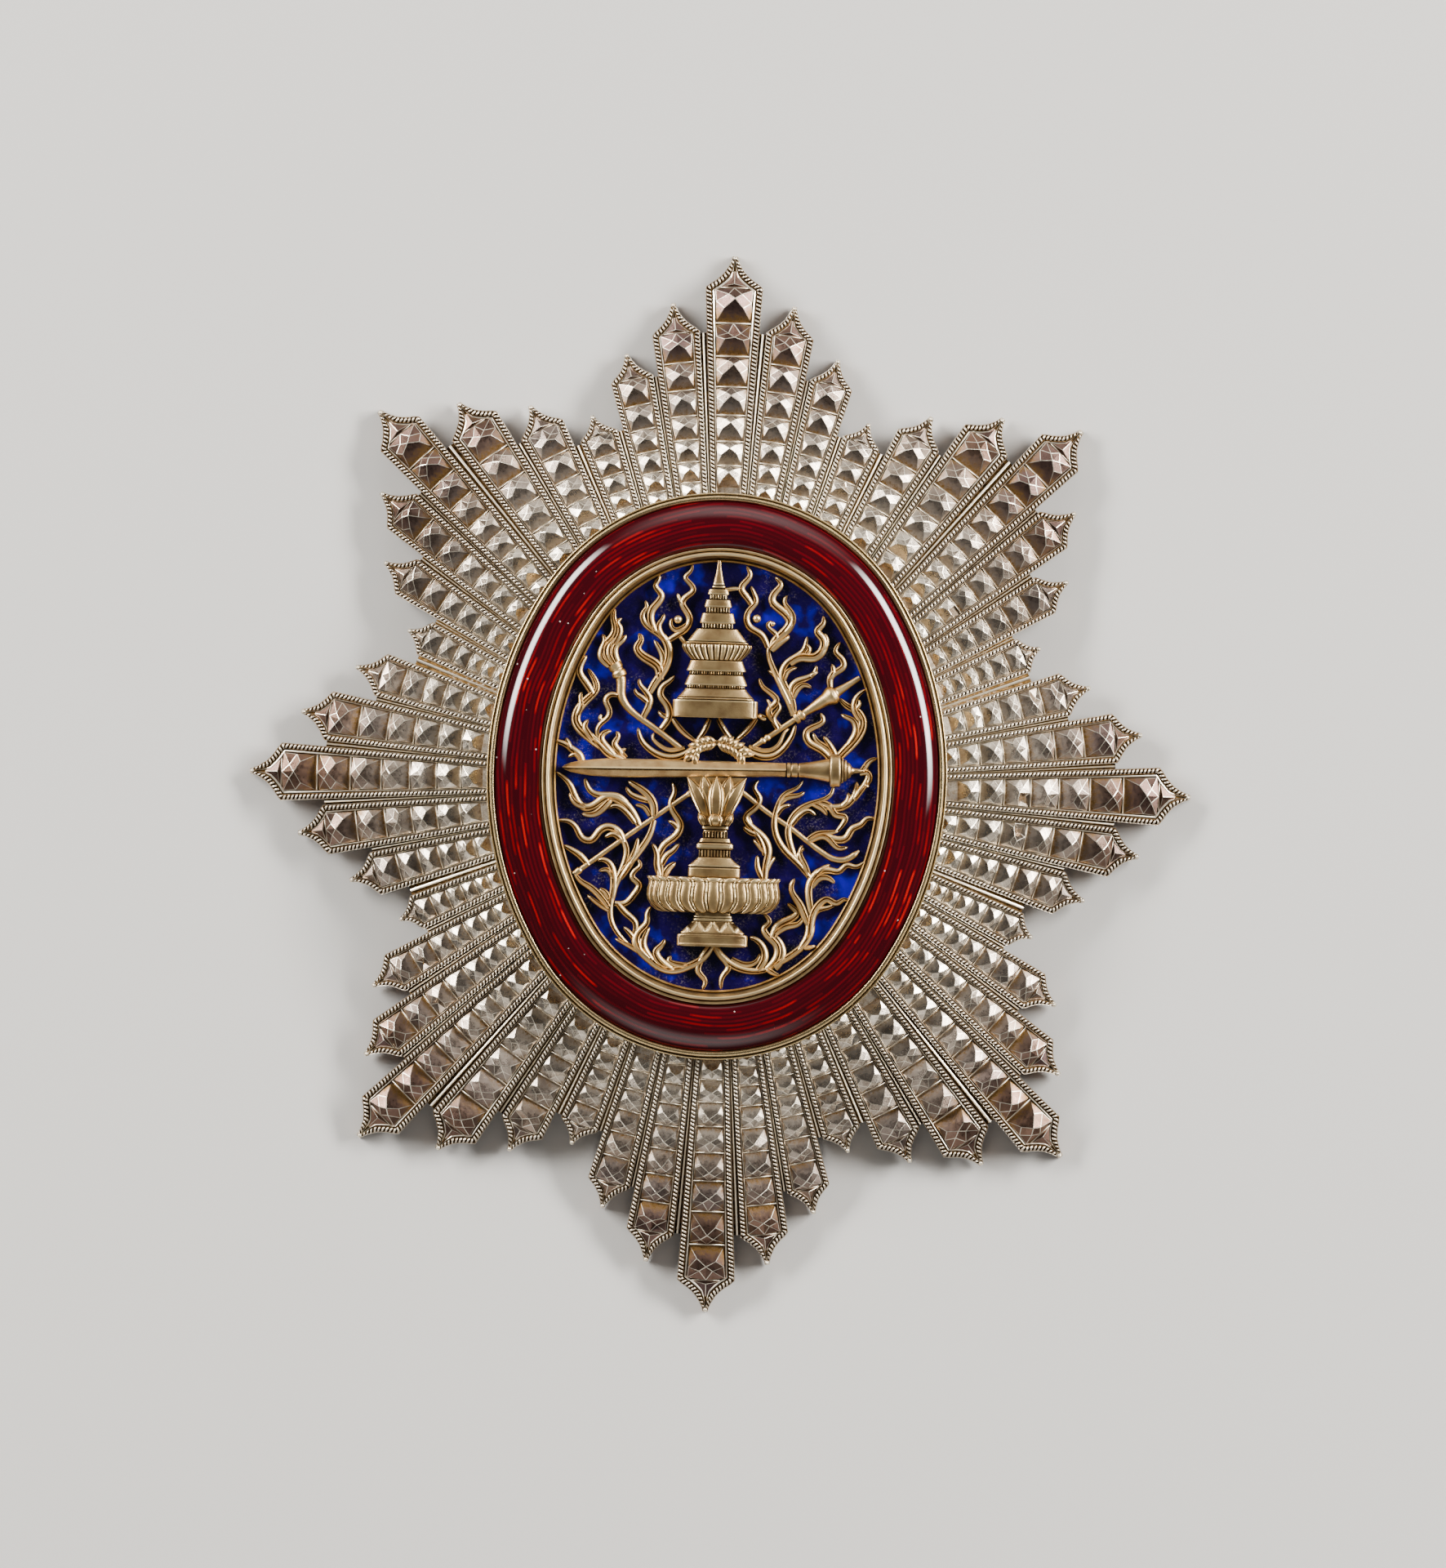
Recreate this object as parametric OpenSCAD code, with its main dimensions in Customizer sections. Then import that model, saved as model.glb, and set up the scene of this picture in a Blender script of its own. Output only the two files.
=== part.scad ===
// Breast star of an order: a struck silver star of 48 faceted rays that carries an oval medallion
// of red and blue enamel with a pierced gold crest. It lies on its back, face up, its top towards +Y.

/* [Star] */
// Width of the star across its two side points
star_width = 80.2; // [76:0.2:86]
// Height of the star from its bottom point to its top point
star_height = 90; // [84:0.5:96]
// Extra reach of the diagonal points past an ellipse through the other four, in percent
diagonal_bulge = 1.6; // [0:0.1:3]
// Height of the hub's underside above the points that the star lies on
dome_rise = 6.2; // [5.6:0.1:7.4]
// Fall of the valley rays' ends below the line of the main rays
valley_fall = 3; // [1:0.1:3.4]
// Thickness of the struck plate
plate = 0.7; // [0.5:0.05:0.9]
// Gap between neighbouring rays at their shoulders
ray_gap = 0.42; // [0.2:0.02:0.6]
// Width of the rope rim along a ray's edge
rim_width = 0.45; // [0.3:0.05:0.6]
// Height of the rope rim above the channel's floor
rim_height = 0.5; // [0.3:0.05:0.7]
// Width of the row of beads in percent of its ray
bead_row_share = 62; // [52:1:66]
// Height of a bead's table above the channel's floor in percent of the bead's width
bead_rise_share = 30; // [20:1:34]

/* [Hub] */
// Thickness of the flat hub that carries the medallion
hub_thickness = 1.2; // [1:0.05:1.8]
// How far the hub's edge stays inside the medallion's edge
hub_inset = 0.9; // [0.7:0.05:1.5]

/* [Medallion] */
// Width of the oval medallion
medal_width = 38.6; // [37:0.1:40]
// Height of the oval medallion
medal_height = 47.6; // [45:0.1:50]
// Radius of the oval's top and bottom ends in percent of the medallion's width
end_roundness = 45.34; // [43:0.02:46.4]
// Distance of the medallion's centre to the left of the star's
medal_left = 0.3; // [0:0.05:1]
// Distance of the medallion's centre above the star's
medal_up = 0.65; // [0:0.05:1.2]
// Thickness of the gold mount's tray
tray_thickness = 0.4; // [0.3:0.05:0.8]
// Width of the collar below the gold rim
collar_width = 0.25; // [0.15:0.05:0.4]
// Height of the collar
collar_height = 0.65; // [0.5:0.05:0.8]
// Width of the gold rim around the red enamel
rim_wall = 0.47; // [0.3:0.01:0.7]
// Height of the gold rim above the tray's underside
rim_rise = 1.5; // [1.2:0.05:1.8]
// Width of the red enamel band
red_width = 4; // [3.4:0.1:4.4]
// Height of the red band's crest above the gold rim
red_crown = 1.05; // [0.6:0.05:1.4]
// Width of the stepped gold bezel between the enamels
bezel_width = 0.93; // [0.8:0.01:1.2]
// Height of the bezel's bead above the tray's top
bezel_rise = 2.45; // [2.1:0.05:2.8]
// Thickness of the blue enamel
blue_thickness = 1.2; // [0.9:0.05:1.4]

/* [Crest] */
// Width of the gold foot ring that ties the crest to the bezel
foot_ring = 0.22; // [0.15:0.01:0.35]
// Thickness of the pierced flame work
fret_thickness = 0.5; // [0.35:0.05:0.7]
// Width of the flame work's thinnest metal
fret_tip = 0.14; // [0.1:0.01:0.2]
// Height of the upper stand from its plinth to the tip of its spire, in percent of the blue field's
upper_height_share = 36.1; // [33:0.1:36.6]
// Width of the upper stand's plinth in percent of the blue field's
upper_width_share = 27.1; // [23:0.1:31]
// Relief of the upper stand above the flame work
upper_relief = 1.5; // [1:0.05:1.8]
// Height of the lower stand from its foot to the top of its petals, in percent of the blue field's
lower_height_share = 38.3; // [36:0.1:38.8]
// Width of the lower stand's fluted bowl in percent of the blue field's
lower_width_share = 41.5; // [37:0.1:45]
// Relief of the lower stand above the flame work
lower_relief = 1.5; // [1:0.05:1.8]
// Length of the sword from its point to its finial in percent of the blue field's width
sword_length_share = 93.9; // [85:0.1:95]
// Width of the sword across its guard in percent of the blue field's
sword_width_share = 10.3; // [8:0.1:12]
// Relief of the sword above the flame work
sword_relief = 1.1; // [0.8:0.05:1.4]
// Turn of the sword against the star's level line, in degrees
sword_turn = 0.9; // [0:0.1:1.5]
// Width of the tied ribbon's knot in percent of the blue field's
knot_width_share = 19.1; // [15:0.1:22]
// Relief of the knot above the flame work
knot_relief = 1.2; // [0.8:0.05:1.4]

/* [Brooch pin] */
// Length of the pin's soldered strip
pin_length = 32; // [24:0.5:36]
// Width of the pin's soldered strip
pin_strip_width = 5; // [4:0.1:6]
// Thickness of the pin's soldered strip
pin_strip_thickness = 0.6; // [0.5:0.05:0.8]
// Diameter of the pin's stem
pin_stem = 1.1; // [0.8:0.05:1.3]
// Height of the stem's centre above the surface that the star lies on
pin_stem_height = 2.4; // [2.2:0.05:2.8]
// Width of the hinge block and the catch
pin_block_width = 3.4; // [2.4:0.1:4]
// Length of the hinge block and the catch along the pin
pin_block_length = 3; // [2.4:0.1:4]

/* [Fit] */
// Gap that keeps two seated pieces apart
seat_gap = 0.05; // [0.02:0.01:0.08]

/* [Hidden] */
$fn = 64;

// One quarter of the star, from the right-hand point to the top point, a row for each ray:
// angle in degrees, reach as a share of the outline, shoulder as a share of the ray's reach,
// fall as a share of valley_fall, length of the first bead as a share of the ray's width.
RAY_TABLE = [
  [0, 1, 0.933, 0, 0.62],
  [8.25, 0.9, 0.934, 0.28, 0.63],
  [16.2, 0.803, 0.929, 0.78, 0.54],
  [24.6, 0.719, 0.946, 1, 0.5],
  [31.8, 0.82, 0.933, 0.78, 0.56],
  [38.95, 0.897, 0.937, 0.28, 0.63],
  [45.9, 1, 0.938, 0, 0.62],
  [53.85, 0.901, 0.939, 0.28, 0.63],
  [61.65, 0.816, 0.936, 0.78, 0.62],
  [69.15, 0.745, 0.945, 1, 0.55],
  [76.05, 0.837, 0.94, 0.78, 0.62],
  [82.75, 0.916, 0.937, 0.28, 0.63],
  [90, 1, 0.94, 0, 0.62]
];
ANGLE = 0;
REACH = 1;
SHOULDER = 2;
FALL = 3;
FIRST_BEAD = 4;

// Outline of a ray's tip: share of the way from shoulder to point, share of the shoulder's width
TIP_TABLE = [[0, 1], [0.24, 0.61], [0.52, 0.28], [1, 0.1]];

// Silhouette of the upper stand from plinth to spire: share of its height, share of its half width
UPPER_TABLE = [
  [0, 1], [0.11, 1], [0.13, 0.88], [0.177, 0.74], [0.203, 0.72], [0.273, 0.64], [0.305, 0.68],
  [0.365, 0.6], [0.405, 0.73], [0.45, 0.81], [0.48, 0.7], [0.567, 0.43], [0.6, 0.34],
  [0.665, 0.35], [0.672, 0.26], [0.705, 0.26], [0.71, 0.28], [0.75, 0.28], [0.755, 0.2],
  [0.79, 0.21], [0.83, 0.21], [0.84, 0.14], [0.9, 0.09], [0.94, 0.06], [1, 0.06]
];
// Silhouette of the lower stand from foot to petals, in the same two shares
LOWER_TABLE = [
  [0, 0.52], [0.02, 0.55], [0.08, 0.55], [0.09, 0.47], [0.15, 0.3], [0.205, 0.29], [0.21, 0.92],
  [0.24, 1], [0.4, 1], [0.415, 0.98], [0.42, 0.39], [0.48, 0.39], [0.5, 0.34], [0.54, 0.24],
  [0.59, 0.23], [0.6, 0.27], [0.63, 0.27], [0.64, 0.18], [0.72, 0.18], [0.73, 0.26], [0.78, 0.26],
  [0.8, 0.24], [0.88, 0.29], [0.96, 0.42], [1, 0.44]
];
// Silhouette of the sword from point to finial: share of its length, share of its half width
SWORD_TABLE = [
  [0, 0.03], [0.03, 0.26], [0.07, 0.44], [0.11, 0.54], [0.2, 0.58], [0.6, 0.47], [0.74, 0.41],
  [0.745, 0.45], [0.785, 0.45], [0.79, 0.42], [0.885, 0.7], [0.89, 1], [0.92, 1], [0.925, 0.8],
  [0.96, 0.4], [0.97, 0.16], [1, 0.05]
];
// Silhouette of the ribbon's knot from left to right, in the same two shares
KNOT_TABLE = [[0, 0.2], [0.12, 0.75], [0.3, 0.95], [0.42, 0.7], [0.58, 0.7], [0.7, 1], [0.88, 0.8],
              [1, 0.25]];

// Tongues of the flame work and the bands that join them. Each row gives the root and the tip in
// percent of the blue field's half width and half height, the bow and the wave to the left of the
// way from root to tip in percent of its half width, the number of half waves, and the width at
// the root in percent of its half width.
FLAME_TABLE = [
  // upper left edge
  [-64, 6, -88, 19, 3, 0, 0, 8], [-87, 18, -82, 49, 0, 6, 2, 7], [-81, 42, -84, 56, 4, 0, 0, 5],
  [-65, 6, -75, 18, 0, -2, 2, 7], [-75, 18, -65, 37, 0, 4, 2, 4], [-62, 6, -63, 20, 0, 3, 2, 4],
  [-84, 4, -100, 14, 0, 3, 2, 4],
  // torch at the upper left, its shaft and its flame
  [-30, 13, -60, 31, -2, 0, 0, 6], [-60, 31, -66, 50, -2, 0, 0, 7], [-67, 49, -68, 77, 2, 4, 2, 7],
  [-69, 49, -75, 66, 5, 0, 0, 5], [-65, 50, -59, 66, 3, -3, 2, 5],
  // tree of flame left of the upper stand
  [-46, 26, -43, 40, -2, 0, 0, 5], [-42, 34, -53, 45, 3, 0, 0, 4], [-43, 39, -37, 54, -3, 4, 2, 6],
  [-37, 48, -52, 66, 6, 0, 0, 7], [-37, 54, -34, 64, -4, 0, 0, 8], [-35, 61, -48, 81, 0, 6, 2, 8],
  [-41, 68, -39, 93, 2, 5, 2, 6], [-34, 63, -25, 78, -6, 0, 0, 6], [-25, 77, -19, 100, 0, 4, 3, 5],
  [-38, 22, -28, 47, 0, 4, 3, 5],
  // tree of flame right of the upper stand
  [3, 88, 12, 88, 0, 0, 0, 3], [12, 88, 14, 100, -4, 0, 0, 4], [16, 72, 15, 90, 0, -5, 2, 6],
  [28, 64, 16, 74, -2, 0, 0, 6], [46, 28, 38, 46, 0, 0, 0, 7], [38, 44, 28, 65, -2, 0, 0, 8],
  [30, 58, 40, 86, -5, 0, 0, 7], [37, 71, 31, 95, 0, -5, 2, 7], [33, 59, 42, 67, -3, 0, 0, 6],
  [39, 47, 53, 58, 4, 0, 0, 8], [51, 58, 63, 76, -6, 4, 2, 8], [48, 58, 54, 67, 0, -3, 2, 5],
  [44, 40, 59, 51, 4, 0, 0, 6], [36, 24, 25, 47, 0, -5, 3, 6],
  // sceptre at the upper right and the flames beside the guard
  [18, 12, 45, 30, 0, 0, 0, 5], [45, 30, 64, 42, 0, 0, 0, 10], [64, 42, 100, 51, 0, 0, 0, 5],
  [70, 43, 75, 66, 0, 4, 3, 5], [75, 11, 78, 34, -12, 0, 0, 9], [80, 33, 91, 43, 2, 0, 0, 4],
  [68, 8, 64, 32, 9, 4, 2, 6], [73, 11, 61, 20, 0, 2, 2, 4], [90, 3, 100, 11, 2, 0, 0, 4],
  // lower right, above and below the crossing staff
  [16, -7, 72, -36, -1, 0, 0, 4], [72, -36, 90, -35, -2, 0, 0, 4], [66, -13, 92, 3, -9, 3, 2, 5],
  [45, -23, 67, -12, 5, 0, 0, 6], [50, -22, 62, -18, 5, 0, 0, 5], [66, -12, 81, -18, 0, 2, 2, 5],
  [57, -29, 83, -32, 4, 3, 2, 6], [73, -28, 99, -17, 0, -4, 2, 6], [59, -47, 38, -18, 5, 0, 0, 5],
  [38, -18, 55, -2, 5, 0, 0, 5], [58, -44, 53, -31, 0, 0, 0, 6], [30, -47, 27, -2, -4, 7, 4, 5],
  [60, -64, 60, -46, 1, 0, 0, 6], [60, -49, 96, -38, 3, 2, 3, 6], [62, -62, 86, -55, 3, 2, 3, 6],
  [44, -86, 62, -63, -5, 0, 0, 6], [3, -80, 41, -88, -8, 0, 0, 8], [41, -78, 56, -65, -3, 0, 0, 8],
  [56, -66, 50, -47, -2, 0, 0, 7], [46, -76, 46, -59, 0, 3, 2, 4], [37, -89, 32, -64, -3, 4, 2, 7],
  [31, -90, 24, -75, 0, 4, 2, 6], [9, -88, 7, -100, 0, 3, 2, 4], [36, -91, 44, -96, 0, 0, 0, 4],
  // lower left
  [-2, -80, -38, -88, 8, 0, 0, 8], [-38, -88, -63, -70, 4, 0, 0, 6],
  [-63, -71, -54, -41, -3, 0, 0, 7], [-59, -63, -87, -48, 0, 3, 2, 5],
  [-57, -56, -73, -42, 4, 0, 0, 6], [-58, -62, -48, -42, 0, -4, 2, 6],
  [-48, -85, -62, -62, 0, 2, 2, 4], [-45, -86, -39, -63, 0, 3, 2, 6],
  [-33, -89, -29, -78, 3, 0, 0, 6], [-10, -89, -4, -100, 0, -3, 2, 4],
  [-40, -88, -46, -93, 0, 0, 0, 4],
  // left, above and below the crossing staff
  [-18, -8, -94, -46, 0, 0, 0, 4], [-49, -23, -82, -4, -7, 2, 2, 8],
  [-70, -12, -100, 0, 5, 0, 0, 8], [-64, -13, -84, -19, 0, -3, 2, 5],
  [-52, -21, -69, -18, -5, 0, 0, 6], [-39, -17, -55, -2, -3, 0, 0, 6],
  [-45, -12, -57, -6, 0, 0, 0, 6], [-58, -30, -100, -22, 0, 6, 2, 7],
  [-80, -42, -100, -33, 0, 2, 2, 5], [-54, -43, -40, -23, -3, 0, 0, 5],
  [-53, -40, -48, -28, 0, 0, 0, 5], [-33, -47, -28, -3, 4, -7, 4, 5],
  [-31, -39, -22, -32, 2, 0, 0, 4], [-35, -38, -39, -32, 0, 0, 0, 4],
  // ribbons above the sword
  [-16, 10, -51, 22, 9, 0, 0, 9], [18, 11, 48, 25, -9, 0, 0, 8], [-10, 14, -30, 30, 0, 0, 0, 7],
  [8, 14, 26, 30, 0, 0, 0, 7], [-10, 14, -1, 30, 0, 0, 0, 6], [9, 14, 2, 30, 0, 0, 0, 6]
];
// Steps along each tongue
FLAME_STEPS = 6;
// Points across the relief of a stand, and of the sword and the knot
STAND_ARC = 7;
SLIM_ARC = 5;

// Derived sizes of the medallion, all measured on the oval's own half sizes
half_w = medal_width / 2;
half_h = medal_height / 2;
end_radius = medal_width * end_roundness / 100;
end_centre = half_h - end_radius;
side_radius = (half_w * half_w + end_centre * end_centre - end_radius * end_radius)
              / (2 * (half_w - end_radius));
side_centre = side_radius - half_w;
junction = atan2(end_centre, side_centre);
// Steps inwards from the outer edge to each ring
red_in = rim_wall + red_width;
bezel_in = red_in + bezel_width;
field_in = bezel_in + seat_gap + foot_ring;
field_w = half_w - field_in;
field_h = half_h - field_in;

// Derived sizes of the crest, which fills the blue field
upper_height = 2 * field_h * upper_height_share / 100;
upper_width = 2 * field_w * upper_width_share / 100;
lower_height = 2 * field_h * lower_height_share / 100;
lower_width = 2 * field_w * lower_width_share / 100;
sword_length = 2 * field_w * sword_length_share / 100;
sword_width = 2 * field_w * sword_width_share / 100;
knot_width = 2 * field_w * knot_width_share / 100;
// How far the flame work below a piece of relief stays inside its sides
silhouette_step = 0.1;

// Levels above the surface that the star lies on
hub_under = dome_rise - hub_thickness + plate;
hub_top = hub_under + hub_thickness;
tray_z = hub_top + seat_gap;
enamel_z = tray_z + tray_thickness + seat_gap;
blue_top = enamel_z + blue_thickness;
fret_z = blue_top + seat_gap;
crest_z = fret_z + fret_thickness + seat_gap;

// Rays
// Share of the outline inside which the rays are not bent down
hub_share = 0.47;
// Share of the hub that is flat below, where the brooch pin sits
seat_share = 0.8;
// How far the plate between two rays ends before a shoulder
notch_step = 0.2;
// Least stretch of a channel's floor that is left without a bead at the hub
hidden_end = 0.4;
// Length of each bead as a share of the next one outwards, and of its table as a share of its own
bead_ratio = 0.925;
table_share = 0.5;
// Corners of the last bead's table: share of the way from shoulder to its end, share of its width
LAST_TABLE = [[0.2, -0.4], [0.55, 0], [0.2, 0.4]];
// Rows of the tip's outline that the channel between the rims runs through
channel_rows = 3;
// Narrowest edge
fine = 0.1;

function ellipse_reach(a) =
  1 / sqrt(pow(2 * cos(a) / star_width, 2) + pow(2 * sin(a) / star_height, 2));
function outline(a) = ellipse_reach(a) * (1 + diagonal_bulge / 100 * pow(sin(2 * a), 2));

// All 48 rays: the quarter, its mirror image and both of them turned half way round
LAST = len(RAY_TABLE) - 1;
function at_angle(row, a) = [a, row[REACH], row[SHOULDER], row[FALL], row[FIRST_BEAD]];
RAYS = concat(
  [for (k = [0:LAST]) at_angle(RAY_TABLE[k], RAY_TABLE[k][ANGLE])],
  [for (k = [LAST - 1:-1:0]) at_angle(RAY_TABLE[k], 180 - RAY_TABLE[k][ANGLE])],
  [for (k = [1:LAST]) at_angle(RAY_TABLE[k], 180 + RAY_TABLE[k][ANGLE])],
  [for (k = [LAST - 1:-1:1]) at_angle(RAY_TABLE[k], 360 - RAY_TABLE[k][ANGLE])]
);
COUNT = len(RAYS);
function ray(i) = RAYS[(i + COUNT) % COUNT];
function angle_of(i) = ray(i)[ANGLE] + 360 * floor(i / COUNT);
function tip_of(i) = outline(ray(i)[ANGLE]) * ray(i)[REACH];
function shoulder_of(i) = tip_of(i) * ray(i)[SHOULDER];
function spread(i) = min(angle_of(i) - angle_of(i - 1), angle_of(i + 1) - angle_of(i)) / 2;

// Half width of ray i at distance r: half the way to its neighbour, less half the gap there,
// which opens from the hub to the shoulder. Past the shoulder it follows the tip's outline.
function opening(i, r) =
  let (share = (r - hub_share * tip_of(i)) / (shoulder_of(i) - hub_share * tip_of(i)))
  ray_gap * (0.15 + 0.85 * max(0, min(1, share)));
function straight_half(i, r) = r * tan(spread(i)) - opening(i, r) / 2;
function half_width(i, r) =
  r <= shoulder_of(i) ? straight_half(i, r)
  : straight_half(i, shoulder_of(i)) * tip_shape((r - shoulder_of(i)) / (tip_of(i) - shoulder_of(i)));
function tip_shape(s) = lookup(s, TIP_TABLE);

// Underside of ray i on its axis: a bowl turned over, with the flanking rays bent down
function bowl(i, r) = dome_rise * (1 - pow(r / outline(ray(i)[ANGLE]), 2));
function bend(i, r) =
  let (hub = hub_share * outline(ray(i)[ANGLE]))
  valley_fall * ray(i)[FALL] * max(0, (r - hub) / (outline(ray(i)[ANGLE]) - hub));
function underside(i, r) = bowl(i, r) - bend(i, r);
// Slope across ray i, so that its edges meet its neighbours'
function cross_slope(i, r) =
  (underside(i + 1, r) - underside(i - 1, r)) / (r * (angle_of(i + 1) - angle_of(i - 1)) * PI / 180);
// Point on ray i at distance r, v to its left and h above its underside
function on_ray(i, r, v, h) =
  let (a = angle_of(i))
  [r * cos(a) - v * sin(a), r * sin(a) + v * cos(a), underside(i, r) + cross_slope(i, r) * v + h];

// Distance from the star's centre to the medallion's edge in a direction, and to the hub's
function medal_edge(a) =
  1 / sqrt(pow(cos(a) / half_w, 2) + pow(sin(a) / half_h, 2)) - medal_left * cos(a) + medal_up * sin(a);
function inner_of(i) = medal_edge(ray(i)[ANGLE]) - hub_inset;
function middle_of(i) = (inner_of(i) + shoulder_of(i)) / 2;

// Boundaries between the beads of ray i, from the last one that shows out to the shoulder
function boundaries(i, r, length) =
  r - length < inner_of(i) + hidden_end ? [r]
  : concat(boundaries(i, r - length, length * bead_ratio), [r]);
function bead_lines(i) =
  let (first = 2 * straight_half(i, shoulder_of(i)) * ray(i)[FIRST_BEAD])
  boundaries(i, shoulder_of(i), first);

// Distances of the points along a ray's edges. The plate between two rays ends in a notch.
function tip_stations(i, first, last) =
  [for (k = [first:last]) shoulder_of(i) + TIP_TABLE[k][0] * (tip_of(i) - shoulder_of(i))];
function web_stations(i, side) =
  [inner_of(i), middle_of(i), min(shoulder_of(i) - notch_step, shoulder_of(i + side))];
function bottom_stations(i, side) =
  concat(web_stations(i, side), tip_stations(i, 0, len(TIP_TABLE) - 1));
function outer_stations(i) =
  concat([inner_of(i), middle_of(i)], tip_stations(i, 0, len(TIP_TABLE) - 1));
function channel_stations(i) =
  concat([inner_of(i), middle_of(i)], tip_stations(i, 0, channel_rows - 1));
function row_stations(i) =
  concat([inner_of(i)], bead_lines(i), tip_stations(i, channel_rows - 1, channel_rows - 1));

function rim_half(i, r) = max(fine, half_width(i, r) - rim_width);
function bead_half(i, r) = r > shoulder_of(i) ? fine / 2 : bead_row_share / 100 * half_width(i, r);

// Points of ray i, edge by edge, each edge first on the right and then on the left: bottom, plate
// between the rays, rim outside, rim inside, bead row. Then the beads' tables, the last bead's
// table, and three points of the hub.
function ray_points(i) =
  let (top = plate + rim_height, lines = bead_lines(i), start = inner_of(i), a = angle_of(i),
       end_bead = row_stations(i)[len(lines) + 1] - shoulder_of(i),
       end_half = bead_half(i, shoulder_of(i)), edge = half_width(i, start))
  concat(
    [for (side = [-1, 1]) for (r = bottom_stations(i, side)) on_ray(i, r, side * half_width(i, r), 0)],
    [for (side = [-1, 1]) for (r = web_stations(i, side)) on_ray(i, r, side * half_width(i, r), plate)],
    [for (side = [-1, 1]) for (r = outer_stations(i)) on_ray(i, r, side * half_width(i, r), top)],
    [for (side = [-1, 1]) for (r = channel_stations(i)) on_ray(i, r, side * rim_half(i, r), top)],
    [for (side = [-1, 1]) for (r = row_stations(i)) on_ray(i, r, side * bead_half(i, r), plate)],
    [for (k = [0:len(lines) - 2])
      let (mid = (lines[k] + lines[k + 1]) / 2, reach = (lines[k + 1] - lines[k]) / 2 * table_share,
           half = bead_half(i, mid), rise = plate + 2 * half * bead_rise_share / 100)
      for (p = [[-1, 0], [0, -1], [1, 0], [0, 1]])
        on_ray(i, mid + p[0] * reach, p[1] * half * table_share, rise)],
    [for (p = LAST_TABLE)
      on_ray(i, shoulder_of(i) + p[0] * end_bead, p[1] * end_half, top)],
    [[start * cos(a) + edge * sin(a), start * sin(a) - edge * cos(a), hub_top],
     [start * cos(a) - edge * sin(a), start * sin(a) + edge * cos(a), hub_top],
     [seat_share * start * cos(a), seat_share * start * sin(a), hub_under]]
  );

// An edge as a list of distance and point number, where the points start at the given number
function chain(stations, first) = [for (k = [0:len(stations) - 1]) [stations[k], first + k]];
// Triangles between two edges, the first of which is on the right when seen from outside
function seam(a, b, j = 0, k = 0) =
  j == len(a) - 1 && k == len(b) - 1 ? []
  : k == len(b) - 1 || (j < len(a) - 1 && a[j + 1][0] <= b[k + 1][0])
    ? concat([[a[j][1], b[k][1], a[j + 1][1]]], seam(a, b, j + 1, k))
  : concat([[a[j][1], b[k][1], b[k + 1][1]]], seam(a, b, j, k + 1));

// Number of points in one edge of each kind, and where each kind starts among a ray's points
WEB = 3;
BOTTOM = WEB + len(TIP_TABLE);
OUTER = 2 + len(TIP_TABLE);
INNER = 2 + channel_rows;
WEB_AT = 2 * BOTTOM;
OUTER_AT = WEB_AT + 2 * WEB;
INNER_AT = OUTER_AT + 2 * OUTER;
ROW_AT = INNER_AT + 2 * INNER;

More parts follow.
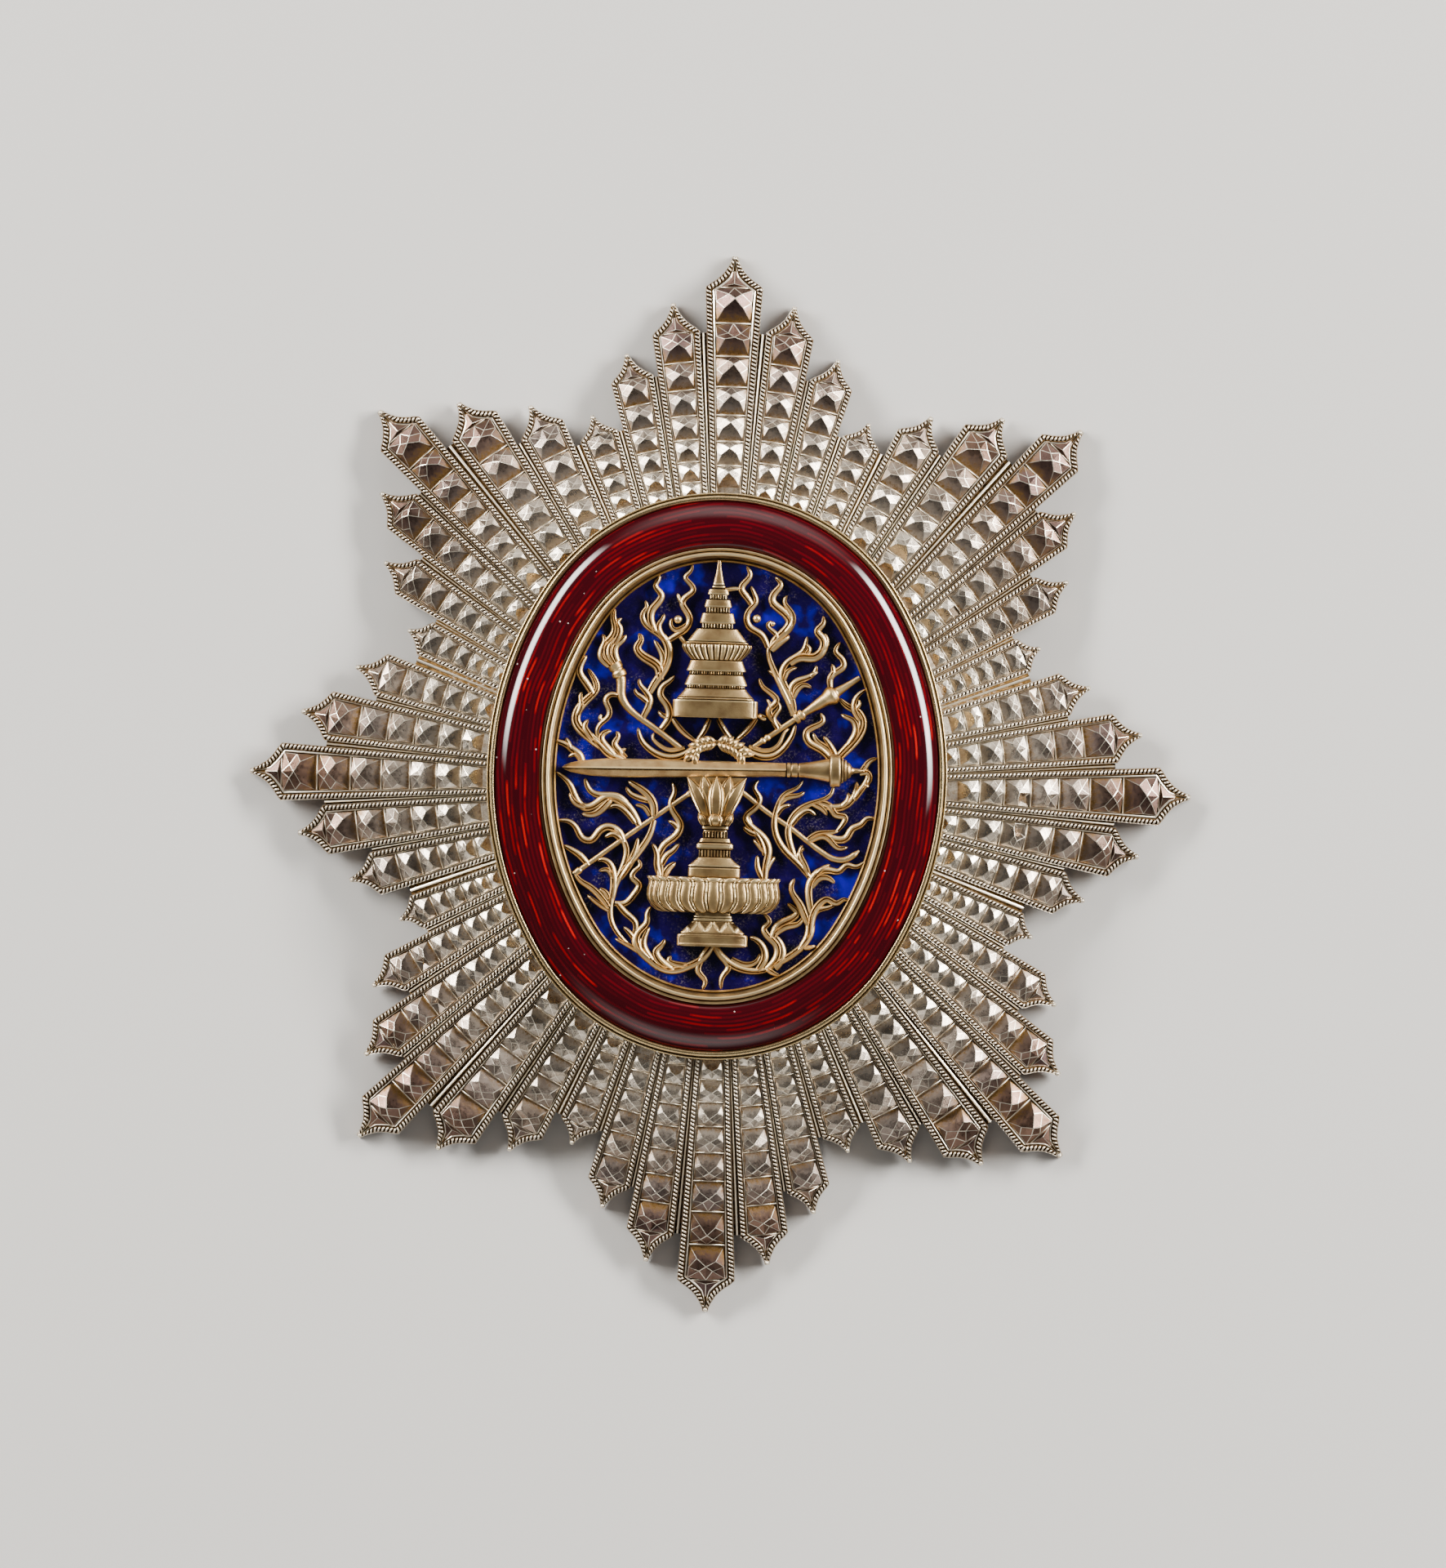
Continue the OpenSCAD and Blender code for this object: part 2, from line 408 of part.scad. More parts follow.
// Faces of ray i, whose points start at number p, and of the plate up to the next ray at number q.
// Every bead has a lozenge table and eight facets down to four corners shared with its neighbours.
function ray_faces(i, p, q) =
  let (beads = len(bead_lines(i)) - 1, row = beads + 3,
       right = p + ROW_AT, left = right + row, tables = left + row, crown = tables + 4 * beads,
       hub = crown + 3, next_hub = hub_at(i + 1, q),
       bottom_r = chain(bottom_stations(i, -1), p), bottom_l = chain(bottom_stations(i, 1), p + BOTTOM),
       web_r = chain(web_stations(i, -1), p + WEB_AT),
       web_l = chain(web_stations(i, 1), p + WEB_AT + WEB),
       outer_r = chain(outer_stations(i), p + OUTER_AT),
       outer_l = chain(outer_stations(i), p + OUTER_AT + OUTER),
       inner_r = chain(channel_stations(i), p + INNER_AT),
       inner_l = chain(channel_stations(i), p + INNER_AT + INNER),
       row_r = chain(row_stations(i), right), row_l = chain(row_stations(i), left),
       next_bottom = chain(web_stations(i + 1, -1), q),
       next_web = chain(web_stations(i + 1, -1), q + WEB_AT))
  concat(
    seam(bottom_l, bottom_r),
    seam(concat(web_r, [for (k = [WEB - 1:BOTTOM - 1]) bottom_r[k]]), outer_r),
    seam(outer_l, concat(web_l, [for (k = [WEB - 1:BOTTOM - 1]) bottom_l[k]])),
    seam(outer_r, inner_r),
    seam(inner_l, outer_l),
    seam(inner_r, row_r),
    seam(row_l, inner_l),
    [[p + BOTTOM - 1, p + OUTER_AT + OUTER - 1, p + INNER_AT - 1, p + WEB_AT - 1],
     [p + INNER_AT + INNER - 1, p + ROW_AT - 1, p + INNER_AT - 1, p + OUTER_AT + OUTER - 1],
     [p + INNER_AT + INNER - 1, left - 1, tables - 1, p + ROW_AT - 1],
     [right, left, left + 1, right + 1]],
    [for (k = [0:beads - 1])
      let (a = right + 1 + k, b = a + 1, d = left + 1 + k, e = d + 1, t = tables + 4 * k)
      for (f = [[a, d, t], [a, t, t + 1], [a, t + 1, b], [b, t + 1, t + 2], [b, t + 2, e],
                [e, t + 2, t + 3], [e, t + 3, d], [d, t + 3, t], [t, t + 3, t + 2, t + 1]]) f],
    let (a = left - 2, b = left - 1, d = tables - 2, e = tables - 1, t = crown)
    [[a, d, t + 2], [a, t + 2, t], [a, t, b], [b, t, t + 1], [b, t + 1, e], [e, t + 1, t + 2],
     [e, t + 2, d], [t, t + 2, t + 1]],
    seam([for (k = [0:WEB - 1]) [k, next_bottom[k][1]]], [for (k = [0:WEB - 1]) [k, bottom_l[k][1]]]),
    seam([for (k = [0:WEB - 1]) [k, web_l[k][1]]], [for (k = [0:WEB - 1]) [k, next_web[k][1]]]),
    [[bottom_l[WEB - 1][1], web_l[WEB - 1][1], next_web[WEB - 1][1]],
     [bottom_l[WEB - 1][1], next_web[WEB - 1][1], next_bottom[WEB - 1][1]],
     [hub, hub + 1, outer_l[0][1], inner_l[0][1], left, right, inner_r[0][1], outer_r[0][1]],
     [hub + 1, next_hub, q + OUTER_AT, outer_l[0][1]],
     [outer_l[0][1], q + OUTER_AT, q + WEB_AT, web_l[0][1]],
     [bottom_l[0][1], hub + 2, bottom_r[0][1]],
     [q, next_hub + 2, hub + 2], [q, hub + 2, bottom_l[0][1]]]
  );

// Where the hub's three points start among the points of a ray that start at the given number
function hub_at(i, first) = first + len(ray_points(i)) - 3;

// Filled oval whose edge lies the given step inside the medallion's outer edge
module oval(step) {
  for (side = [-1, 1]) {
    translate([0, side * end_centre]) circle(end_radius - step);
  }
  intersection() {
    translate([-side_centre, 0]) circle(side_radius - step, $fn = 2 * $fn);
    translate([side_centre, 0]) circle(side_radius - step, $fn = 2 * $fn);
    square([medal_width, 2 * (end_centre + (end_radius - step) * sin(junction))], center = true);
  }
}

// Flat band between two steps inside the medallion's outer edge
module band(outer_step, inner_step) {
  difference() {
    oval(outer_step);
    oval(inner_step);
  }
}

// Four arcs that make the oval: centre, radius, first angle and angle covered
ARCS = [
  [[-side_centre, 0], side_radius, -junction, 2 * junction],
  [[0, end_centre], end_radius, junction, 180 - 2 * junction],
  [[side_centre, 0], side_radius, 180 - junction, 2 * junction],
  [[0, -end_centre], end_radius, 180 + junction, 180 - 2 * junction]
];
ARC_STEPS = 18;

// Ring round the oval, swept from a section that runs anticlockwise, whose x is the step outside
// the oval's edge, negative inwards, and whose y is the height
module oval_ring(section) {
  n = len(section);
  stations = [for (arc = ARCS) for (k = [0:ARC_STEPS - 1])
    [arc[0], arc[1], arc[2] + arc[3] * k / ARC_STEPS]];
  count = len(stations);
  points = [for (s = stations) for (q = section)
    [s[0][0] + (s[1] + q[0]) * cos(s[2]), s[0][1] + (s[1] + q[0]) * sin(s[2]), q[1]]];
  polyhedron(points, [for (j = [0:count - 1]) for (k = [0:n - 1])
    let (next = (j + 1) % count, up = (k + 1) % n)
    [j * n + k, j * n + up, next * n + up, next * n + k]]);
}

// Everything of the medallion is drawn about its own centre
module on_medal() {
  translate([-medal_left, medal_up, 0]) children();
}

// The whole struck star in one skin
module star_body() {
  starts = [for (i = 0, at = 0; i <= COUNT; at = at + len(ray_points(i)), i = i + 1) at];
  first = function(i) i == COUNT ? 0 : starts[i];
  color("silver") polyhedron(
    [for (i = [0:COUNT - 1]) for (p = ray_points(i)) p],
    concat(
      [for (i = [0:COUNT - 1]) for (f = ray_faces(i, starts[i], first(i + 1))) f],
      [[for (i = [0:COUNT - 1]) hub_at(i, starts[i]) + 2],
       [for (i = [COUNT - 1:-1:0]) for (k = [1, 0]) hub_at(i, starts[i]) + k]]
    )
  );
}

// Gold tray with a collar below and a rim around the red enamel
module ring_mount() {
  edge = rim_wall / 5;
  color("goldenrod") on_medal() translate([0, 0, tray_z]) {
    linear_extrude(tray_thickness) oval(-collar_width);
    linear_extrude(collar_height) band(-collar_width, rim_wall / 2);
    linear_extrude(rim_rise - edge) band(0, rim_wall);
    linear_extrude(rim_rise) band(edge, rim_wall - edge);
  }
}

// Translucent red band, highest at a third of its width from the bezel
module red_enamel() {
  outer = rim_wall + seat_gap;
  inner = red_in - seat_gap;
  width = inner - outer;
  edge = tray_z + rim_rise - 0.15;
  crest = tray_z + rim_rise + red_crown;
  section = [
    [-inner, enamel_z], [-outer, enamel_z], [-outer, edge],
    [-outer - 0.16 * width, edge + 0.42 * red_crown],
    [-outer - 0.4 * width, edge + 0.8 * red_crown], [-outer - 0.66 * width, crest],
    [-outer - 0.84 * width, crest - 0.06], [-inner, crest - 0.3]
  ];
  color("darkred") on_medal() oval_ring(section);
}

// Stepped gold bezel: a thin outer step, a groove, a round bead and a slope down to the field
module inner_bezel() {
  base = enamel_z;
  top = tray_z + tray_thickness + bezel_rise;
  w = bezel_width;
  section = [
    [-bezel_in, base], [-red_in, base], [-red_in, top - 0.3], [-red_in - 0.28 * w, top - 0.3],
    [-red_in - 0.32 * w, top - 0.45], [-red_in - 0.4 * w, top - 0.1], [-red_in - 0.5 * w, top],
    [-red_in - 0.66 * w, top - 0.04], [-red_in - 0.76 * w, top - 0.25], [-bezel_in, top - 0.75]
  ];
  color("gold") on_medal() oval_ring(section);
}

module blue_enamel() {
  color("mediumblue") on_medal() translate([0, 0, enamel_z])
    linear_extrude(blue_thickness) oval(bezel_in + seat_gap);
}

// One tongue of flame: a band on a bowed and waving line, whose width runs out towards the tip
module tongue(row) {
  root = [row[0] * field_w, row[1] * field_h] / 100;
  tip = [row[2] * field_w, row[3] * field_h] / 100;
  way = tip - root;
  left = [-way[1], way[0]] / norm(way);
  scale_w = field_w / 100;
  line = [for (k = [0:FLAME_STEPS]) let (t = k / FLAME_STEPS)
    root + way * t + left * scale_w * (row[4] * sin(180 * t) + row[5] * sin(180 * row[6] * t))];
  half = [for (k = [0:FLAME_STEPS]) let (t = k / FLAME_STEPS)
    max(fret_tip, row[7] * scale_w * (1 - 0.75 * t)) / 2];
  normal = [for (k = [0:FLAME_STEPS])
    let (d = line[min(k + 1, FLAME_STEPS)] - line[max(k - 1, 0)]) [-d[1], d[0]] / norm(d)];
  polygon(concat([for (k = [0:FLAME_STEPS]) line[k] + normal[k] * half[k]],
                 [for (k = [FLAME_STEPS:-1:0]) line[k] - normal[k] * half[k]]));
}

// Flat outline of a piece of relief, which the flame work carries below it
module silhouette(length, width, table) {
  half = width / 2 - silhouette_step;
  polygon(concat([for (row = table) [row[1] * half, row[0] * length]],
                 [for (k = [len(table) - 1:-1:0]) [-table[k][1] * half, table[k][0] * length]]));
}

// Places of the four relief pieces on the crest
upper_foot = field_h * 0.272;
lower_foot = -field_h * 0.79;
sword_y = field_h * 0.022;
crest_left = field_w * 0.022;
// The knot lies above the sword, whose half width below it is about this share
sword_share_at_knot = 0.55;
knot_y = sword_y + sin(sword_turn) * sword_length / 2 + sword_share_at_knot * sword_width / 2
  + seat_gap + knot_relief;
module at_upper() { translate([-crest_left, upper_foot, 0]) children(); }
module at_lower() { translate([0, lower_foot, 0]) children(); }
module at_sword() {
  translate([-sword_length / 2 - crest_left, sword_y, 0]) rotate([0, 0, sword_turn])
    rotate([0, 0, -90]) children();
}
module at_knot() { translate([-knot_width / 2, knot_y, 0]) rotate([0, 0, -90]) children(); }

module flame_fret() {
  color("gold") on_medal() translate([0, 0, fret_z]) linear_extrude(fret_thickness)
    offset(delta = -0.03) offset(delta = 0.03) {
      difference() {
        oval(bezel_in + seat_gap, $fn = 96);
        oval(field_in, $fn = 96);
      }
      intersection() {
        oval(bezel_in + 2 * seat_gap, $fn = 96);
        union() {
          for (row = FLAME_TABLE) {
            tongue(row);
          }
          at_upper() silhouette(upper_height, upper_width, UPPER_TABLE);
          at_lower() silhouette(lower_height, lower_width, LOWER_TABLE);
          at_sword() silhouette(sword_length, sword_width, SWORD_TABLE);
          at_knot() silhouette(knot_width, 2 * knot_relief, KNOT_TABLE);
        }
      }
    }
}

// Faces that close a bar whose stations hold the same number of points, each ring anticlockwise
function bar_faces(stations, ring) = concat(
  [[for (k = [0:ring - 1]) k]],
  [for (s = [0:stations - 2]) for (k = [0:ring - 1])
    [s * ring + k, (s + 1) * ring + k, (s + 1) * ring + (k + 1) % ring]],
  [for (s = [0:stations - 2]) for (k = [0:ring - 1])
    [s * ring + k, (s + 1) * ring + (k + 1) % ring, s * ring + (k + 1) % ring]],
  [[for (k = [ring - 1:-1:0]) (stations - 1) * ring + k]]
);

// Raised relief along +Y: each row of the table is a low half round, deeper where it is wider
module relief(length, width, depth, table, arc_points) {
  points = [for (row = table)
    let (w = row[1] * width / 2, d = depth * pow(row[1], 0.6))
    for (k = [0:arc_points - 1]) let (turn = 180 * k / (arc_points - 1))
      [w * cos(turn), row[0] * length, d * sin(turn)]];
  polyhedron(points, bar_faces(len(table), arc_points));
}

module upper_stand() {
  color("palegoldenrod") on_medal() translate([0, 0, crest_z]) at_upper()
    relief(upper_height, upper_width, upper_relief, UPPER_TABLE, STAND_ARC);
}

module lower_stand() {
  color("palegoldenrod") on_medal() translate([0, 0, crest_z]) at_lower()
    relief(lower_height, lower_width, lower_relief, LOWER_TABLE, STAND_ARC);
}

module sword() {
  color("palegoldenrod") on_medal() translate([0, 0, crest_z]) at_sword()
    relief(sword_length, sword_width, sword_relief, SWORD_TABLE, SLIM_ARC);
}

module ribbon_knot() {
  color("palegoldenrod") on_medal() translate([0, 0, crest_z]) at_knot()
    relief(knot_width, 2 * knot_relief, knot_relief, KNOT_TABLE, SLIM_ARC);
}

// Plain brooch pin on the hub's underside: strip, hinge block, stem and catch in one piece
module brooch_pin() {
  seat = hub_under - seat_gap;
  strip_z = seat - pin_strip_thickness;
  block_bottom = pin_stem_height - pin_stem;
  color("silver") {
    translate([-pin_strip_width / 2, -pin_length / 2, strip_z])
      cube([pin_strip_width, pin_length, pin_strip_thickness]);
    for (side = [-1, 1]) {
      translate([-pin_block_width / 2, side * (pin_length - pin_block_length) / 2 - pin_block_length / 2,
                 block_bottom])
        cube([pin_block_width, pin_block_length, strip_z - block_bottom + pin_strip_thickness / 2]);
    }
    translate([0, pin_length / 2 - pin_block_length / 2, pin_stem_height]) rotate([90, 0, 0])
      cylinder(d = pin_stem, h = pin_length - pin_block_length);
  }
}

star_body();
ring_mount();
red_enamel();
inner_bezel();
blue_enamel();
flame_fret();
upper_stand();
lower_stand();
sword();
ribbon_knot();
brooch_pin();
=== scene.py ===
# %% [markdown]
# # A breast star of an order
# The real piece is a struck silver star of 48 narrow rays. Each ray has a rope edge and a row of
# faceted beads. An oval medallion sits on it, with a ring of red enamel, a stepped gold bezel and a
# field of blue enamel under cast gold work. We keep the CAD frame for size and place, and put a
# finely modelled surface over each of its solids but the blue field and the pin. All lengths below are in
# millimetres.

# %% Tools and frame
import math

import bpy
import numpy as np
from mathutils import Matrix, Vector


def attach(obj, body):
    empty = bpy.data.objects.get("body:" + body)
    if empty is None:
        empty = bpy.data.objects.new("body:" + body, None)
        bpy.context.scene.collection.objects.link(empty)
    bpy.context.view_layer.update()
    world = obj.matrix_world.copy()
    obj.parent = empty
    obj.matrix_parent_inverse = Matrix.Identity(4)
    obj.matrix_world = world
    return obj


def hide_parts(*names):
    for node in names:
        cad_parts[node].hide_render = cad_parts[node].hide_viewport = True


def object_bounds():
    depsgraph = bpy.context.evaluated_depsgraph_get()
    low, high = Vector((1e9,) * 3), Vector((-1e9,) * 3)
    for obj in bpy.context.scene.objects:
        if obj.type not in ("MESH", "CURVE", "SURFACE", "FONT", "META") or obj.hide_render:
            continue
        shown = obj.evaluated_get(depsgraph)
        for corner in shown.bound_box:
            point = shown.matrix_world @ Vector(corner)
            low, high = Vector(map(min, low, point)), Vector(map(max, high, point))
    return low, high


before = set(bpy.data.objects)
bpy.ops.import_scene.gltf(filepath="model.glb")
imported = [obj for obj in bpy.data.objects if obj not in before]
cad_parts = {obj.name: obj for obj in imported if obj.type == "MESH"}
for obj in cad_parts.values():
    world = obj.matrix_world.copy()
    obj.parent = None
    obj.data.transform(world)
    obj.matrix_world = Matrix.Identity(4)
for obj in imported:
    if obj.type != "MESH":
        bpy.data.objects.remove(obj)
CAD_BOX = [list(corner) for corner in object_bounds()]
MM = 0.001
rng = np.random.default_rng(48)
scene = bpy.context.scene
print("CAD nodes:", sorted(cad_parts))

# %% [markdown]
# ## Camera
# The photograph looks straight at the star from far off. The star lies on its back here, so the
# camera looks straight down, turned a little, because the star hangs slightly clockwise.

# %% Camera
# Size of the photograph in pixels, its scale and the pixel of the star's middle
PHOTO_SIZE = (1771, 1920)
PX_PER_MM = 14.4
STAR_PX = (882, 960)
PICTURE_TURN = math.radians(1.65)
CAMERA_HEIGHT = 1200
MIDDLE_HEIGHT = 4
SENSOR = 36
CLIP_NEAR, CLIP_FAR = 0.1, 10

camera = bpy.data.objects.new("camera", bpy.data.cameras.new("camera"))
camera.data.sensor_width = SENSOR
camera.data.lens = SENSOR * (CAMERA_HEIGHT - MIDDLE_HEIGHT) / (PHOTO_SIZE[1] / PX_PER_MM)
camera.data.clip_start, camera.data.clip_end = CLIP_NEAR, CLIP_FAR
shift = (PHOTO_SIZE[0] / 2 - STAR_PX[0]) / PX_PER_MM
camera.location = (shift * math.cos(PICTURE_TURN) * MM, shift * math.sin(PICTURE_TURN) * MM,
                   CAMERA_HEIGHT * MM)
camera.rotation_euler = (0, 0, PICTURE_TURN)
scene.collection.objects.link(camera)
scene.camera = camera
print("lens", round(camera.data.lens), "mm")

# %% [markdown]
# ## Patches and pieces
# Every surface is a patch: points in mm, faces as whole arrays, and at each point three shares that
# the metals read: recess (tarnish on the silver, and painted shade, lie there), rub with a painted
# highlight, and tone (small differences from bead to bead). A piece joins its patches into one mesh.
# Modifiers could build such forms too, but whole arrays put each edge exactly where the die put it, and they
# run in seconds.


# %% Patches
MID_TONE = 0.5
PLAIN = (0, 0, MID_TONE)


def patch(points, faces, wear_and_light=PLAIN, smooth=True, uv=None):
    """One bit of surface. wear_and_light is one triple, or a triple for each point: recess (tarnish and
    painted shade), rub with painted highlight, and tone.
    """
    points = np.asarray(points, float)
    wear_and_light = np.broadcast_to(np.asarray(wear_and_light, float), (len(points), 3))
    return {"points": points, "faces": faces, "wear_and_light": wear_and_light, "smooth": smooth, "uv": uv}


def grid_faces(rows, columns, ring=False):
    """Quads between the neighbours on a grid of points. A ring joins its last column to its first."""
    i, j = np.meshgrid(np.arange(rows - 1), np.arange(columns if ring else columns - 1), indexing="ij")
    nxt = (j + 1) % columns
    return np.stack([i * columns + j, (i + 1) * columns + j, (i + 1) * columns + nxt,
                     i * columns + nxt], -1).reshape(-1, 4)


def volume_of(points, faces):
    """Signed volume: each face is a fan of triangles, and each triangle a thin pyramid to the origin."""
    total = 0.0
    for block in faces:
        a = points[block[:, 0]]
        for k in range(1, block.shape[1] - 1):
            total += np.einsum("ij,ij->", a, np.cross(points[block[:, k]], points[block[:, k + 1]]))
    return total / 6


def outwards(points, faces):
    """The same faces, turned over if they enclose a negative volume."""
    return faces if volume_of(points, faces) > 0 else [block[:, ::-1] for block in faces]


def tube(rings, wear_and_light=PLAIN, smooth=True):
    """Closed skin over rings of points that stand one behind the other, with both ends covered."""
    rows, columns = rings.shape[:2]
    points = rings.reshape(-1, 3)
    faces = [grid_faces(rows, columns, ring=True), np.arange(columns)[None, :],
             ((rows - 1) * columns + np.arange(columns))[None, ::-1]]
    return patch(points, outwards(points, faces), np.reshape(wear_and_light, (-1, 3)), smooth)


def loop(rings, uv, wear_and_light):
    """Closed skin over rings of points that follow each other round a closed path."""
    rows, columns = rings.shape[:2]
    points = rings.reshape(-1, 3)
    faces = grid_faces(rows + 1, columns, ring=True) % (rows * columns)
    return patch(points, outwards(points, [faces]), np.reshape(wear_and_light, (-1, 3)), uv=uv)


def sideways(line):
    """The normal to the left of a line at each of its points."""
    ahead = np.gradient(line, axis=0)
    ahead /= np.linalg.norm(ahead, axis=1)[:, None]
    return np.column_stack([-ahead[:, 1], ahead[:, 0]])


def bar(xy, z, foot, recess, rub_and_highlight, under=1):
    """A tube whose sections are arches of points (xy, z) with two feet at height foot, straight below
    the arch's ends. recess, a painted shade, and rub_and_highlight, a painted highlight, belong to the
    arch, and the feet have the recess under."""
    arch = np.concatenate([xy, z[..., None]], -1)
    feet = np.concatenate([xy[:, [-1, 0]], np.full((len(xy), 2, 1), foot)], -1)
    wear_and_light = np.zeros((len(xy), xy.shape[1] + 2, 3))
    wear_and_light[:, :-2, 0], wear_and_light[:, :-2, 1] = np.clip(recess, 0, 1), np.clip(rub_and_highlight, 0, 1)
    wear_and_light[:, -2:, 0] = under
    wear_and_light[..., 2] = MID_TONE
    return tube(np.concatenate([arch, feet], 1), wear_and_light)


# %% Pieces
def piece(name, patches, material, nodes=(), sharp_angle=None):
    """Joins patches into one mesh that rides on the CAD and stands for the named nodes."""
    corners, totals, smooth, wear_and_light, uv, base = [], [], [], [], [], 0
    for p in patches:
        for block in p["faces"]:
            corners.append((block + base).ravel())
            totals.append(np.full(len(block), block.shape[1]))
            smooth.append(np.full(len(block), p["smooth"]))
            wear_and_light.append(p["wear_and_light"][block.ravel()])
            uv.append(np.zeros((block.size, 2)) if p["uv"] is None else p["uv"](block))
        base += len(p["points"])
    points = np.concatenate([p["points"] for p in patches]) * MM
    corners, totals = np.concatenate(corners), np.concatenate(totals)
    mesh = bpy.data.meshes.new(name)
    mesh.vertices.add(len(points))
    mesh.vertices.foreach_set("co", points.ravel())
    mesh.loops.add(len(corners))
    mesh.loops.foreach_set("vertex_index", corners.astype(np.int32))
    mesh.polygons.add(len(totals))
    mesh.polygons.foreach_set("loop_start", (np.cumsum(totals) - totals).astype(np.int32))
    mesh.update(calc_edges=True)
    mesh.polygons.foreach_set("use_smooth", np.concatenate(smooth))
    colours = np.column_stack([np.concatenate(wear_and_light), np.ones(len(corners))])
    mesh.attributes.new("wear_and_light", "FLOAT_COLOR", "CORNER").data.foreach_set("color", colours.ravel())
    mesh.uv_layers.new(name="surface_mm").data.foreach_set("uv", np.concatenate(uv).ravel())
    if sharp_angle:
        mesh.set_sharp_from_angle(angle=math.radians(sharp_angle))
    mesh.materials.append(material)
    obj = bpy.data.objects.new(name, mesh)
    scene.collection.objects.link(obj)
    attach(obj, "root")
    if nodes:
        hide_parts(*nodes)
    print(name, "triangles", int((totals - 2).sum()))
    return obj


# %% [markdown]
# ## Materials
# Old silver is bright where cloth rubs it and yellow to brown where polish never reaches. Painted
# maps could show that, but nodes that read the three shares of each point keep the tarnish and the
# painted shade in the folds, and the painted highlight on the crests, at any distance. One small
# function adds a node with its settings and links.


# %% Material tools
def colour(code):
    """An sRGB hex colour as linear RGBA."""
    c = np.array([int(code[k:k + 2], 16) for k in (1, 3, 5)]) / 255
    return (*np.where(c <= 0.04045, c / 12.92, ((c + 0.055) / 1.055) ** 2.4), 1)


def add(tree, kind, inputs=None, **settings):
    """Adds a node with its settings. An input is a value, a node (its first output) or a socket."""
    node = tree.nodes.new("ShaderNode" + kind)
    for key, value in settings.items():
        setattr(node, key, value)
    for key, value in (inputs or {}).items():
        if isinstance(value, bpy.types.Node):
            value = value.outputs[0]
        if isinstance(value, bpy.types.NodeSocket):
            tree.links.new(value, node.inputs[key])
        else:
            node.inputs[key].default_value = value
    return node


def new_material(name):
    """An empty material with its shader, ready for its colours."""
    material = bpy.data.materials.new(name)
    material.use_nodes = True
    tree = material.node_tree
    tree.nodes.clear()
    shader = add(tree, "BsdfPrincipled")
    add(tree, "OutputMaterial", {"Surface": shader})
    return material, tree, shader


def per_mm(size):
    """Scale of a noise on Object coordinates, whose unit is the metre, for features of a size in mm."""
    return 1 / (size * MM)


# %% [markdown]
# ### Struck silver
# The rays are sterling silver, struck in a die and never fully polished again. The eye sees mauve-grey
# facets that mirror the lamps softly, near-white edges, partly worn by rubbing and partly a painted
# highlight, and gold-brown sulphide in the recesses, darkened further by painted shade. One metal
# shader with a colour for each state of wear and of painted light gives all of it, and a fine bump breaks the
# mirror.

